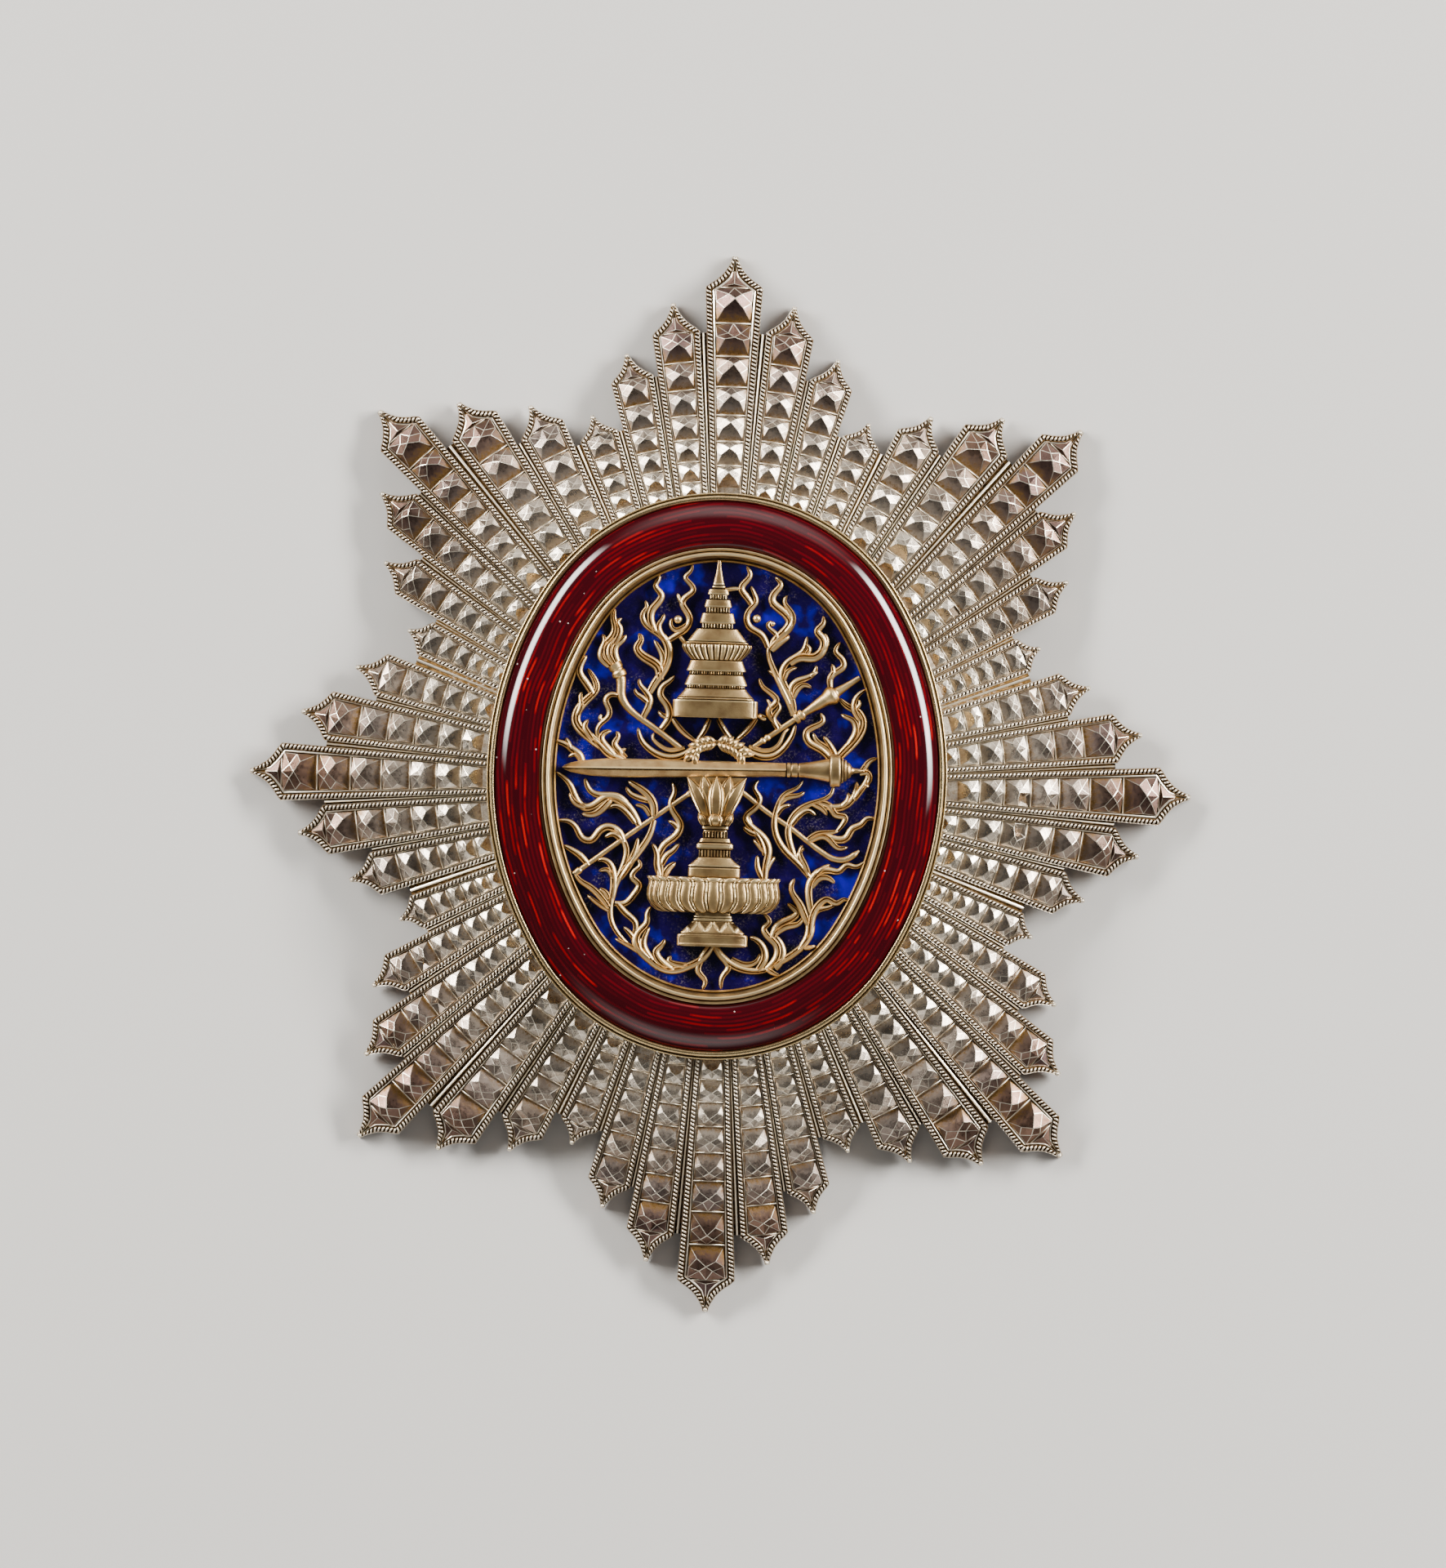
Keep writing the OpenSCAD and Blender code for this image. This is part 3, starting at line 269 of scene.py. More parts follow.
# %% Struck silver
def struck_silver():
    """Worn and tarnished metal with painted light: the colour goes from tone to the paler middle, brown
    clouds, rub with painted highlight, and tarnish with painted shade.
    """
    material, tree, shader = new_material("struck_silver_tarnished")
    place = add(tree, "TexCoord").outputs["Object"]
    shares = add(tree, "SeparateColor", {0: add(tree, "Attribute", attribute_name="wear_and_light")})
    recess, rub_and_highlight, tone = shares.outputs
    patches = add(tree, "TexNoise", {"Vector": place, "Scale": per_mm(1.4), "Detail": 4,
                                    "Roughness": 0.6})
    grain = add(tree, "TexNoise", {"Vector": place, "Scale": per_mm(0.3), "Detail": 5,
                                  "Roughness": 0.75})
    # Paler near the medallion, darker towards the points: an oval distance from the middle
    oval = add(tree, "VectorMath", {0: place, 1: (1 / CAD_BOX[1][0], 1 / CAD_BOX[1][1], 0)},
               operation="MULTIPLY")
    reach = add(tree, "VectorMath", {0: oval}, operation="LENGTH")
    paler_zone = add(tree, "MapRange", {"Value": reach.outputs["Value"], "From Min": 0.5, "From Max": 0.84,
                                    "To Min": 1, "To Max": 0})
    body = add(tree, "MixRGB", {0: tone, 1: colour("#6E5957"), 2: colour("#836656")})
    body = add(tree, "MixRGB", {0: paler_zone, 1: body, 2: colour("#EFE3CF")})
    cloud = add(tree, "MapRange", {"Value": patches, "From Min": 0.42, "From Max": 0.68})
    cloud = add(tree, "Math", {0: cloud, 1: 0.6}, operation="MULTIPLY")
    body = add(tree, "MixRGB", {0: cloud, 1: body, 2: colour("#5E4A3C")})
    # Pale where the rub share is high: worn silver, and a painted highlight on edges and crests
    body = add(tree, "MixRGB", {0: rub_and_highlight, 1: body, 2: colour("#FFF4DE")})
    # Tarnish grain plus the recess share: real tarnish, and painted shade in slots, grooves and bead feet
    dirt_and_shade = add(tree, "Math", {0: grain, 1: 1.5, 2: -0.75}, operation="MULTIPLY_ADD")
    dirt_and_shade = add(tree, "Math", {0: recess, 1: dirt_and_shade}, operation="ADD")
    less_dark_middle = add(tree, "Math", {0: paler_zone, 1: -0.3}, operation="MULTIPLY")
    dirt_and_shade = add(tree, "Math", {0: dirt_and_shade, 1: less_dark_middle}, operation="ADD")
    gold = add(tree, "MapRange", {"Value": dirt_and_shade, "From Min": 0.3, "From Max": 0.75})
    # Near-black where the share is highest: black tarnish, darkened further as painted shade
    dark = add(tree, "MapRange", {"Value": dirt_and_shade, "From Min": 0.72, "From Max": 1.15})
    body = add(tree, "MixRGB", {0: gold, 1: body, 2: colour("#7A5C34")})
    body = add(tree, "MixRGB", {0: dark, 1: body, 2: colour("#1A1006")})
    rough = add(tree, "MapRange", {"Value": dirt_and_shade, "From Min": 0, "From Max": 1, "To Min": 0.27,
                                   "To Max": 0.6})
    rough = add(tree, "Math", {0: rub_and_highlight, 1: 0.1, 2: rough.outputs[0]}, operation="MULTIPLY_ADD")
    pits = add(tree, "Bump", {"Height": grain, "Strength": 0.35, "Distance": 0.04 * MM})
    tree.links.new(body.outputs[0], shader.inputs["Base Color"])
    tree.links.new(rough.outputs[0], shader.inputs["Roughness"])
    tree.links.new(pits.outputs[0], shader.inputs["Normal"])
    shader.inputs["Metallic"].default_value = 1
    return material


# %% [markdown]
# ### Cast gold
# Stands, sword, flames and rings are a gold alloy, cast or turned, chased and left matt from the
# mould. The eye sees bright crests, brown folds and a sandy grain; the crests get a painted highlight
# and the folds painted shade. The alloys differ only in colour and grain, so one function makes all three.

# %% Cast gold
def cast_gold(name, bright, shade, fold_shade_colour, smoothest=0.36, grain=0.5):
    """Gold with two tints in clouds, a pale painted highlight on the crests and painted shade in the
    folds. smoothest is the roughness outside the shaded folds, grain the strength of the sandy bump."""
    material, tree, shader = new_material(name)
    place = add(tree, "TexCoord").outputs["Object"]
    shares = add(tree, "SeparateColor", {0: add(tree, "Attribute", attribute_name="wear_and_light")})
    recess, rub_and_highlight = shares.outputs[:2]
    sand = add(tree, "TexNoise", {"Vector": place, "Scale": per_mm(0.1), "Detail": 3, "Roughness": 0.6})
    cloud = add(tree, "TexNoise", {"Vector": place, "Scale": per_mm(1.1), "Detail": 3})
    cloud = add(tree, "MapRange", {"Value": cloud, "From Min": 0.35, "From Max": 0.7})
    body = add(tree, "MixRGB", {0: cloud, 1: colour(bright), 2: colour(shade)})
    # Painted highlight: pale gold on the crests where the rub share is high
    body = add(tree, "MixRGB", {0: rub_and_highlight, 1: body, 2: colour("#FCE2AC")})
    # Painted shade: the recess share and the sand grain darken the folds to their shade colour
    dirt_and_shade = add(tree, "Math", {0: sand, 1: 0.5, 2: -0.25}, operation="MULTIPLY_ADD")
    dirt_and_shade = add(tree, "Math", {0: recess, 1: dirt_and_shade}, operation="ADD")
    shade_in_folds = add(tree, "MapRange", {"Value": dirt_and_shade, "From Min": 0.25, "From Max": 1})
    body = add(tree, "MixRGB", {0: shade_in_folds, 1: body, 2: colour(fold_shade_colour)})
    rough = add(tree, "MapRange", {"Value": dirt_and_shade, "From Min": 0, "From Max": 1, "To Min": smoothest,
                                   "To Max": 0.62})
    bump = add(tree, "Bump", {"Height": sand, "Strength": grain, "Distance": 0.035 * MM})
    tree.links.new(body.outputs[0], shader.inputs["Base Color"])
    tree.links.new(rough.outputs[0], shader.inputs["Roughness"])
    tree.links.new(bump.outputs[0], shader.inputs["Normal"])
    shader.inputs["Metallic"].default_value = 1
    return material


# %% [markdown]
# ### Red enamel
# This is translucent red glass, fired over metal that was engraved with rows of short cuts. The cuts
# glint orange-red through deep crimson, under a polished skin with a few pin holes. Real refraction
# over real cuts would take millions of faces, so the cuts, and their glints as a painted reflection of
# the lamps, are drawn in the colour below a clear coat, in rows that follow the UV map, which is in
# millimetres.

# %% Red enamel
# Distance of the rows of cuts and length of a cut, in millimetres
ROW_SPACING, CUT_LENGTH = 0.36, 3.4


def red_enamel():
    """Each cell of rows and cuts has a random lot, which says how brightly its cut shines, a painted
    reflection of the lamps. The painted glint fades near the edges of the cell, in dim pools, and near
    the top and bottom of the oval, away from the lamps at the sides."""
    material, tree, shader = new_material("red_enamel_over_engraving")
    uv = add(tree, "SeparateXYZ", {0: add(tree, "TexCoord").outputs["UV"]})
    along, across = uv.outputs["X"], uv.outputs["Y"]
    place = add(tree, "TexCoord").outputs["Object"]
    # Rows along the band sway a little and are cut up, shifted from row to row
    sway = add(tree, "TexNoise", {"Vector": place, "Scale": per_mm(7), "Detail": 1})
    row_at = add(tree, "Math", {0: across, 1: 1 / ROW_SPACING}, operation="MULTIPLY")
    row_at = add(tree, "Math", {0: sway, 1: 2.2, 2: row_at.outputs[0]}, operation="MULTIPLY_ADD")
    row = add(tree, "Math", {0: row_at}, operation="FLOOR")
    in_row = add(tree, "Math", {0: row_at}, operation="FRACT")
    dash_at = add(tree, "Math", {0: along, 1: 1 / CUT_LENGTH}, operation="MULTIPLY")
    dash_at = add(tree, "Math", {0: row, 1: 0.37, 2: dash_at.outputs[0]}, operation="MULTIPLY_ADD")
    dash = add(tree, "Math", {0: dash_at}, operation="FLOOR")
    in_dash = add(tree, "Math", {0: dash_at}, operation="FRACT")
    # A lot drawn for each cut says whether it glints; the painted glint fades to its sides and ends
    lot = add(tree, "TexWhiteNoise", {"Vector": add(tree, "CombineXYZ", {0: dash, 1: row})},
              noise_dimensions="3D").outputs["Value"]
    off = add(tree, "Math", {0: in_row, 1: 0.5}, operation="SUBTRACT")
    off = add(tree, "Math", {0: off}, operation="ABSOLUTE")
    thin = add(tree, "MapRange", {"Value": off, "From Min": 0.12, "From Max": 0.34,
                                  "To Min": 1, "To Max": 0})
    end = add(tree, "Math", {0: in_dash, 1: 0.5}, operation="SUBTRACT")
    end = add(tree, "Math", {0: end}, operation="ABSOLUTE")
    short = add(tree, "MapRange", {"Value": end, "From Min": 0.36, "From Max": 0.5,
                                   "To Min": 1, "To Max": 0})
    lit = add(tree, "MapRange", {"Value": lot, "From Min": 0.66, "From Max": 1.02})
    painted_glint = add(tree, "Math", {0: thin, 1: short}, operation="MULTIPLY")
    painted_glint = add(tree, "Math", {0: painted_glint, 1: lit}, operation="MULTIPLY")
    # Fewer painted glints in some pools, at the top and bottom, and close to the outer edge
    pool = add(tree, "TexNoise", {"Vector": place, "Scale": per_mm(9), "Detail": 2})
    pool = add(tree, "MapRange", {"Value": pool, "From Min": 0.42, "From Max": 0.58,
                                  "To Min": 0.12, "To Max": 1})
    painted_glint = add(tree, "Math", {0: painted_glint, 1: pool}, operation="MULTIPLY")
    # Painted reflection: the glints grow towards the left and right, where the lamps stand
    sides = add(tree, "SeparateXYZ", {0: place})
    sides = add(tree, "Math", {0: sides.outputs["X"]}, operation="ABSOLUTE")
    sides = add(tree, "MapRange", {"Value": sides, "From Min": 4 * MM, "From Max": 13 * MM,
                                   "To Min": 0.22, "To Max": 1})
    painted_glint = add(tree, "Math", {0: painted_glint, 1: sides}, operation="MULTIPLY")
    middle = add(tree, "MapRange", {"Value": across, "From Min": 0.2, "From Max": 0.9})
    painted_glint = add(tree, "Math", {0: painted_glint, 1: middle}, operation="MULTIPLY")
    # Streaked crimson glass, brown at the edge, with the painted glints and pale pin holes
    streak = add(tree, "Math", {0: thin, 1: lot}, operation="MULTIPLY")
    body = add(tree, "MixRGB", {0: streak, 1: colour("#300208"), 2: colour("#5C040E")})
    edge = add(tree, "MapRange", {"Value": across, "From Min": 0, "From Max": 0.45,
                                  "To Min": 0.75, "To Max": 0})
    body = add(tree, "MixRGB", {0: edge, 1: body, 2: colour("#581806")})
    body = add(tree, "MixRGB", {0: painted_glint, 1: body, 2: colour("#B40A08")})
    holes = add(tree, "TexVoronoi", {"Vector": place, "Scale": per_mm(1.5), "Randomness": 1})
    speck = add(tree, "MapRange", {"Value": holes.outputs["Distance"], "From Min": 0.03,
                                   "From Max": 0.055, "To Min": 0.8, "To Max": 0})
    body = add(tree, "MixRGB", {0: speck, 1: body, 2: colour("#E8D8D0")})
    tree.links.new(body.outputs[0], shader.inputs["Base Color"])
    shader.inputs["Specular IOR Level"].default_value = 0
    shader.inputs["Coat Weight"].default_value = 1
    shader.inputs["Coat Roughness"].default_value = 0.05
    return material


# %% [markdown]
# ### Blue enamel
# The field is cobalt glass over rough metal. The eye sees deep ultramarine with brighter pools, and
# pale polishing dust that was caught round the gold. It has a clear coat as the red has, but a wavy
# one, because it was fired between the flames and never ground flat.

# %% Blue enamel
def blue_enamel():
    """Three blues by the depth of a slow noise, dust by a fine noise inside a slow one, and a coat
    whose own normal waves."""
    material, tree, shader = new_material("blue_enamel_cobalt")
    place = add(tree, "TexCoord").outputs["Object"]
    pools = add(tree, "TexNoise", {"Vector": place, "Scale": per_mm(3.2), "Detail": 3, "Roughness": 0.6})
    bright = add(tree, "MapRange", {"Value": pools, "From Min": 0.53, "From Max": 0.68})
    dusk = add(tree, "MapRange", {"Value": pools, "From Min": 0.32, "From Max": 0.5,
                                  "To Min": 1, "To Max": 0})
    body = add(tree, "MixRGB", {0: bright, 1: colour("#10003E"), 2: colour("#1C00A2")})
    body = add(tree, "MixRGB", {0: dusk, 1: body, 2: colour("#080318")})
    dust = add(tree, "TexNoise", {"Vector": place, "Scale": per_mm(0.22), "Detail": 4,
                                 "Roughness": 0.75})
    dust = add(tree, "MapRange", {"Value": dust, "From Min": 0.52, "From Max": 0.72})
    where = add(tree, "TexNoise", {"Vector": place, "Scale": per_mm(2.4), "Detail": 3})
    where = add(tree, "MapRange", {"Value": where, "From Min": 0.5, "From Max": 0.66,
                                   "To Min": 0.02, "To Max": 0.42})
    dust = add(tree, "Math", {0: dust, 1: where}, operation="MULTIPLY")
    body = add(tree, "MixRGB", {0: dust, 1: body, 2: colour("#A79C90")})
    wave = add(tree, "TexNoise", {"Vector": place, "Scale": per_mm(1.8), "Detail": 2})
    bump = add(tree, "Bump", {"Height": wave, "Strength": 0.5, "Distance": 0.12 * MM})
    tree.links.new(body.outputs[0], shader.inputs["Base Color"])
    tree.links.new(bump.outputs[0], shader.inputs["Coat Normal"])
    shader.inputs["Specular IOR Level"].default_value = 0
    shader.inputs["Coat Weight"].default_value = 1
    shader.inputs["Coat Roughness"].default_value = 0.06
    return material


SILVER = struck_silver()
PALE_GOLD = cast_gold("cast_pale_gold", "#CFB07C", "#A6855A", "#281808")
FLAME_GOLD = cast_gold("cast_yellow_gold", "#E6B86E", "#B4803A", "#3E2408")
MOUNT_GOLD = cast_gold("turned_gilt_mount", "#CCAC74", "#A08050", "#1A1006", 0.26, 0.12)
RED = red_enamel()
BLUE = blue_enamel()
print("materials", [m.name for m in bpy.data.materials])

# %% [markdown]
# ## Floor and lamps
# A plain pale floor. Two long soft boxes left and right give the white wedges on the enamel and light
# the sides of the beads. Two dim and wide ones, beyond the top and before the foot, fill the shadows,
# and the room gives a little light from all sides. A sharp box would draw a hard grey veil on the
# enamel, so every box fades towards its edges.

# %% Floor
FLOOR_REACH = 2.5
floor_mesh = bpy.data.meshes.new("floor")
corners = np.array([[-1, -1], [1, -1], [1, 1], [-1, 1]]) * FLOOR_REACH
floor_mesh.from_pydata([(x, y, 0) for x, y in corners], [], [(0, 1, 2, 3)])
floor = bpy.data.objects.new("floor", floor_mesh)
scene.collection.objects.link(floor)
paper, tree, shader = new_material("pale_paper")
shader.inputs["Base Color"].default_value = colour("#D9D6D1")
shader.inputs["Roughness"].default_value = 0.8
floor.data.materials.append(paper)
print("floor", 2 * FLOOR_REACH, "m wide")


# %% Lamps
def soft_box(name, place, size, power, tint, fade):
    """A rectangular lamp at a place in metres that faces the star. Like a cloth-covered studio box it
    fades towards its edges, over a share of each side, so its reflection has no hard border."""
    lamp = bpy.data.lights.new(name, "AREA")
    lamp.shape = "RECTANGLE"
    lamp.size, lamp.size_y = size
    lamp.energy = power
    lamp.color = tint
    lamp.use_nodes = True
    tree = lamp.node_tree
    spot = add(tree, "VectorMath", {0: add(tree, "NewGeometry").outputs["Parametric"], 1: (0.5, 0.5, 0)},
               operation="SUBTRACT")
    spot = add(tree, "SeparateXYZ", {0: add(tree, "VectorMath", {0: spot}, operation="ABSOLUTE")})
    glow = [add(tree, "MapRange", {"Value": spot.outputs[axis], "From Min": 0.5 - fade, "From Max": 0.5,
                                   "To Min": 1, "To Max": 0}, interpolation_type="SMOOTHSTEP")
            for axis in "XY"]
    glow = add(tree, "Math", {0: glow[0], 1: glow[1]}, operation="MULTIPLY")
    tree.links.new(glow.outputs[0], tree.nodes["Emission"].inputs["Strength"])
    box = bpy.data.objects.new(name, lamp)
    box.location = place
    aim = -np.array(place) / np.linalg.norm(place)
    turn = math.atan2(aim[1], aim[0])
    box.rotation_euler = (math.acos(-aim[2]), 0, turn - math.pi / 2)
    scene.collection.objects.link(box)


# Name, place and size in metres, power in watts, tint, fading share
KEY_TINT, FILL_TINT, ROOM_LIGHT = (1, 0.985, 0.96), (1, 0.98, 0.95), 0.09
soft_box("box_left", (-0.62, 0.32, 0.36), (0.72, 0.2), 25, KEY_TINT, 0.3)
soft_box("box_right", (0.64, 0.26, 0.36), (0.72, 0.2), 31, KEY_TINT, 0.3)
soft_box("fill_beyond", (0.1, 1.0, 0.55), (1.9, 0.8), 10, FILL_TINT, 0.45)
soft_box("fill_near", (-0.1, -1.0, 0.55), (1.9, 0.8), 8, FILL_TINT, 0.45)
scene.world = bpy.data.worlds.new("room")
scene.world.use_nodes = True
room = scene.world.node_tree.nodes["Background"].inputs
room["Color"].default_value = (1, 1, 1, 1)
room["Strength"].default_value = ROOM_LIGHT
print("lamps", [lamp.name for lamp in bpy.data.lights])

# %% [markdown]
# ## The star's rays
# Every ray lies on a dome: its height falls with the square of the distance, and the rays between the
# eight points are bent down further. One ray could be copied 48 times, but neighbours differ in
# length and bend, so a table describes a quarter of the star and is mirrored and turned. The
# functions below say where a point on a ray is, as the CAD says it.

# %% Rays
STAR_WIDTH, STAR_HEIGHT = 80.2, 90.0
DIAGONAL_BULGE, DOME_RISE, VALLEY_FALL = 0.016, 6.2, 3.0
RAY_GAP, HUB_SHARE = 0.42, 0.47
# Angle, reach as a share of the outline, shoulder as a share of the reach, share of the valleys'
# fall, and the first bead's length as a share of the ray's width there
RAY_TABLE = np.array([
    [0, 1, 0.933, 0, 0.62], [8.25, 0.9, 0.934, 0.28, 0.63], [16.2, 0.803, 0.929, 0.78, 0.54],
    [24.6, 0.719, 0.946, 1, 0.5], [31.8, 0.82, 0.933, 0.78, 0.56], [38.95, 0.897, 0.937, 0.28, 0.63],
    [45.9, 1, 0.938, 0, 0.62], [53.85, 0.901, 0.939, 0.28, 0.63], [61.65, 0.816, 0.936, 0.78, 0.62],
    [69.15, 0.745, 0.945, 1, 0.55], [76.05, 0.837, 0.94, 0.78, 0.62], [82.75, 0.916, 0.937, 0.28, 0.63],
    [90, 1, 0.94, 0, 0.62]])
mirrored = RAY_TABLE[-2::-1].copy()
mirrored[:, 0] = 180 - mirrored[:, 0]
upper_rays = np.vstack([RAY_TABLE, mirrored])
lower_rays = upper_rays[1:-1].copy()
lower_rays[:, 0] += 180
RAYS = np.vstack([upper_rays, lower_rays])
COUNT = len(RAYS)
# Half width and half height of the medallion, the radius of its ends and its middle
MEDAL_W, MEDAL_H, END_RADIUS = 19.3, 23.8, 17.5
MEDAL_AT = np.array([-0.3, 0.65])
HUB_INSET = 0.9


def outline(angle):
    """Reach of the star's outline: an ellipse, a little fuller on the diagonals."""
    a = np.radians(angle)
    ellipse = 1 / np.sqrt((2 * np.cos(a) / STAR_WIDTH) ** 2 + (2 * np.sin(a) / STAR_HEIGHT) ** 2)
    return ellipse * (1 + DIAGONAL_BULGE * np.sin(2 * a) ** 2)


angles = RAYS[:, 0]
edges_of_star = outline(angles)
tips = edges_of_star * RAYS[:, 1]
shoulders = tips * RAYS[:, 2]
before = np.concatenate([[angles[-1] - 360], angles[:-1]])
after = np.concatenate([angles[1:], [angles[0] + 360]])
spreads = np.radians(np.minimum(angles - before, after - angles) / 2)
radians = np.radians(angles)
inner = (1 / np.hypot(np.cos(radians) / MEDAL_W, np.sin(radians) / MEDAL_H)
         + MEDAL_AT[0] * np.cos(radians) + MEDAL_AT[1] * np.sin(radians) - HUB_INSET)


def half_width(i, r):
    """Half the way to the neighbour, less half the gap, which opens from the hub to the shoulder."""
    share = np.clip((r - HUB_SHARE * tips[i]) / (shoulders[i] - HUB_SHARE * tips[i]), 0, 1)
    return r * np.tan(spreads[i]) - RAY_GAP * (0.15 + 0.85 * share) / 2


def underside(i, r):
    """Height of a ray's underside: a turned-over bowl, less the bend of the rays in the valleys."""
    i = i % COUNT
    hub = HUB_SHARE * edges_of_star[i]
    bend = VALLEY_FALL * RAYS[i, 3] * np.maximum(0, (r - hub) / (edges_of_star[i] - hub))
    return DOME_RISE * (1 - (r / edges_of_star[i]) ** 2) - bend


def on_ray(i, r, v, h):
    """Points at distance r, v to the ray's left and h above its underside, which leans so that
    neighbouring rays meet."""
    i = i % COUNT
    lean = (underside(i + 1, r) - underside(i - 1, r)) / (r * np.radians(after[i] - before[i]))
    cos, sin = math.cos(radians[i]), math.sin(radians[i])
    return np.stack(np.broadcast_arrays(r * cos - v * sin, r * sin + v * cos,
                                        underside(i, r) + lean * v + h), -1)


print("rays", COUNT, "longest", round(tips.max(), 1), "shortest", round(tips.min(), 1))

# %% [markdown]
# ## Plate, lip, groove and ledge
# Across a ray, from its edge inwards, the die struck a bright lip, a seat for the rope, a dark groove,
# a smooth ledge and the floor that carries the beads. A bevelled block would lose these fine lines,
# so we carry the profile along the ray's outline, with mitred corners at the shoulder, and close it
# below.

# %% Ray outline
# Shares of the way from shoulder to tip, and of the half width there
TIP_SHARES = np.array([0, 0.13, 0.23, 0.36, 0.49, 0.62, 0.74, 0.87, 1])
TIP_WIDTHS = np.array([1, 0.84, 0.67, 0.5, 0.36, 0.27, 0.19, 0.13, 0.09])
STRAIGHT_STEPS = 13
LIP, ROPE_RADIUS = 0.06, 0.235
# The border beside the beads: its share of the half width, its least size and its largest share
BORDER_SHARE, BORDER_LEAST, BORDER_MOST = 0.345, 0.56, 0.6
# The rope's radius is at most these shares of the border and of the half width
ROPE_OF_BORDER, ROPE_OF_WIDTH = 0.31, 0.46
SEAT_H, ROPE_RISE, FLOOR_H = 0.92, 0.28, 0.7


def border_of(width):
    """Width beside the beads, with the rope and the ledge on it, for a half width of the ray."""
    return np.clip(np.maximum(BORDER_SHARE * width, BORDER_LEAST), 0, BORDER_MOST * width)


def ray_edge(i):
    """Stations along a ray's left edge: distance, half width, mitred inward normal and the width
    that is left beside the beads."""
    straight = np.linspace(inner[i], shoulders[i], STRAIGHT_STEPS)[:-1]
    width = half_width(i, straight)
    end_width = half_width(i, shoulders[i])
    r = np.concatenate([straight, shoulders[i] + TIP_SHARES * (tips[i] - shoulders[i])])
    v = np.concatenate([width, end_width * TIP_WIDTHS])
    step = np.diff(np.column_stack([r, v]), axis=0)
    step /= np.linalg.norm(step, axis=1)[:, None]
    side = np.column_stack([step[:, 1], -step[:, 0]])
    side = np.vstack([side[:1], side, side[-1:]])
    mitre = side[:-1] + side[1:]
    mitre *= (2 / np.einsum("ij,ij->i", mitre, mitre))[:, None]
    border = border_of(v)
    border[STRAIGHT_STEPS - 1:] = np.minimum(v[STRAIGHT_STEPS - 1:], border[STRAIGHT_STEPS - 1])
    return r, v, mitre, border


def rope_radius(v, border):
    """Radius of the rope edge: thinner where the ray or its border is narrow."""
    return np.minimum(ROPE_RADIUS, np.minimum(ROPE_OF_BORDER * border, ROPE_OF_WIDTH * v))


# %% Ray plate
# Height, recess (tarnish and painted shade) and rub with painted highlight of the profile's points, from the
# foot of the wall to the axis
PROFILE = np.array([
    [0, 0.5, 0], [0.84, 0.25, 0.2], [0.93, 0, 1], [SEAT_H, 0.7, 0], [SEAT_H, 0.7, 0], [0.74, 1, 0],
    [0.72, 1, 0], [0.93, 0, 1], [0.96, 0, 0.9], [0.92, 0, 1], [0.75, 0.8, 0], [FLOOR_H, 0.75, 0],
    [FLOOR_H, 0.75, 0]])
GROOVE_SHARE, LEDGE_SHARE = 0.16, 0.66


def ray_plate(i):
    """A ray's body: the profile swept along both edges and closed by a flat underside. Where the ray is
    too narrow for the whole profile, its inner points gather on the axis at the rope's height."""
    r, v, mitre, border = ray_edge(i)
    rope = LIP + 2 * rope_radius(v, border)
    rest = np.maximum(border - rope, 0.03)
    groove = rope + GROOVE_SHARE * rest
    ledge = groove + LEDGE_SHARE * rest
    zero = np.zeros_like(r)
    inset = np.column_stack([zero, zero, zero + LIP * 0.55, zero + LIP, rope, rope + 0.01, groove,
                             groove + 0.04, (groove + ledge) / 2, ledge - 0.03, ledge + 0.02,
                             np.maximum(border, ledge + 0.03)])
    to_axis = (v / np.maximum(-mitre[:, 1], 0.2))[:, None]
    squeezed = inset > to_axis
    inset = np.minimum(inset, to_axis)
    rr = np.column_stack([r[:, None] + mitre[:, :1] * inset, r])
    vv = np.maximum(np.column_stack([v[:, None] + mitre[:, 1:] * inset, zero]), 0)
    hh = np.where(np.column_stack([squeezed, squeezed[:, -1]]), SEAT_H, PROFILE[:, 0])
    hh[:, 0] = 0
    left = on_ray(i, rr, vv, hh)
    right = on_ray(i, rr, -vv, hh)[:, -2::-1]
    shade = np.column_stack([PROFILE[:, 1:], np.full(len(PROFILE), MID_TONE)])
    shade = np.vstack([shade, shade[-2::-1]])
    rings = np.concatenate([left, right], axis=1)
    shade = np.broadcast_to(shade, rings.shape).copy()
    narrow = np.column_stack([squeezed, squeezed[:, -1:], squeezed[:, ::-1]])
    # Where squeezed, less painted shade and some painted highlight
    shade[narrow] = (0.2, 0.5, MID_TONE)
    return tube(rings, shade, smooth=False)


# %% [markdown]
# ## Rope edges
# The edge is a milled rope: slanting strands with dark slots between them. Two twisted wires could
# make it, but 96 of them would have too many faces. A half round is swept along the ray's edge
# instead, and its radius dips in a wave whose phase also turns round the section, so the slots slant.

# %% Rope
ROPE_PITCH, ROPE_STEP, STRAND_SLANT, SLOT_DEPTH = 0.34, 0.07, 0.75, 0.7
ROUND = np.radians([0, 45, 90, 135, 180])
HIDDEN_START = 0.45


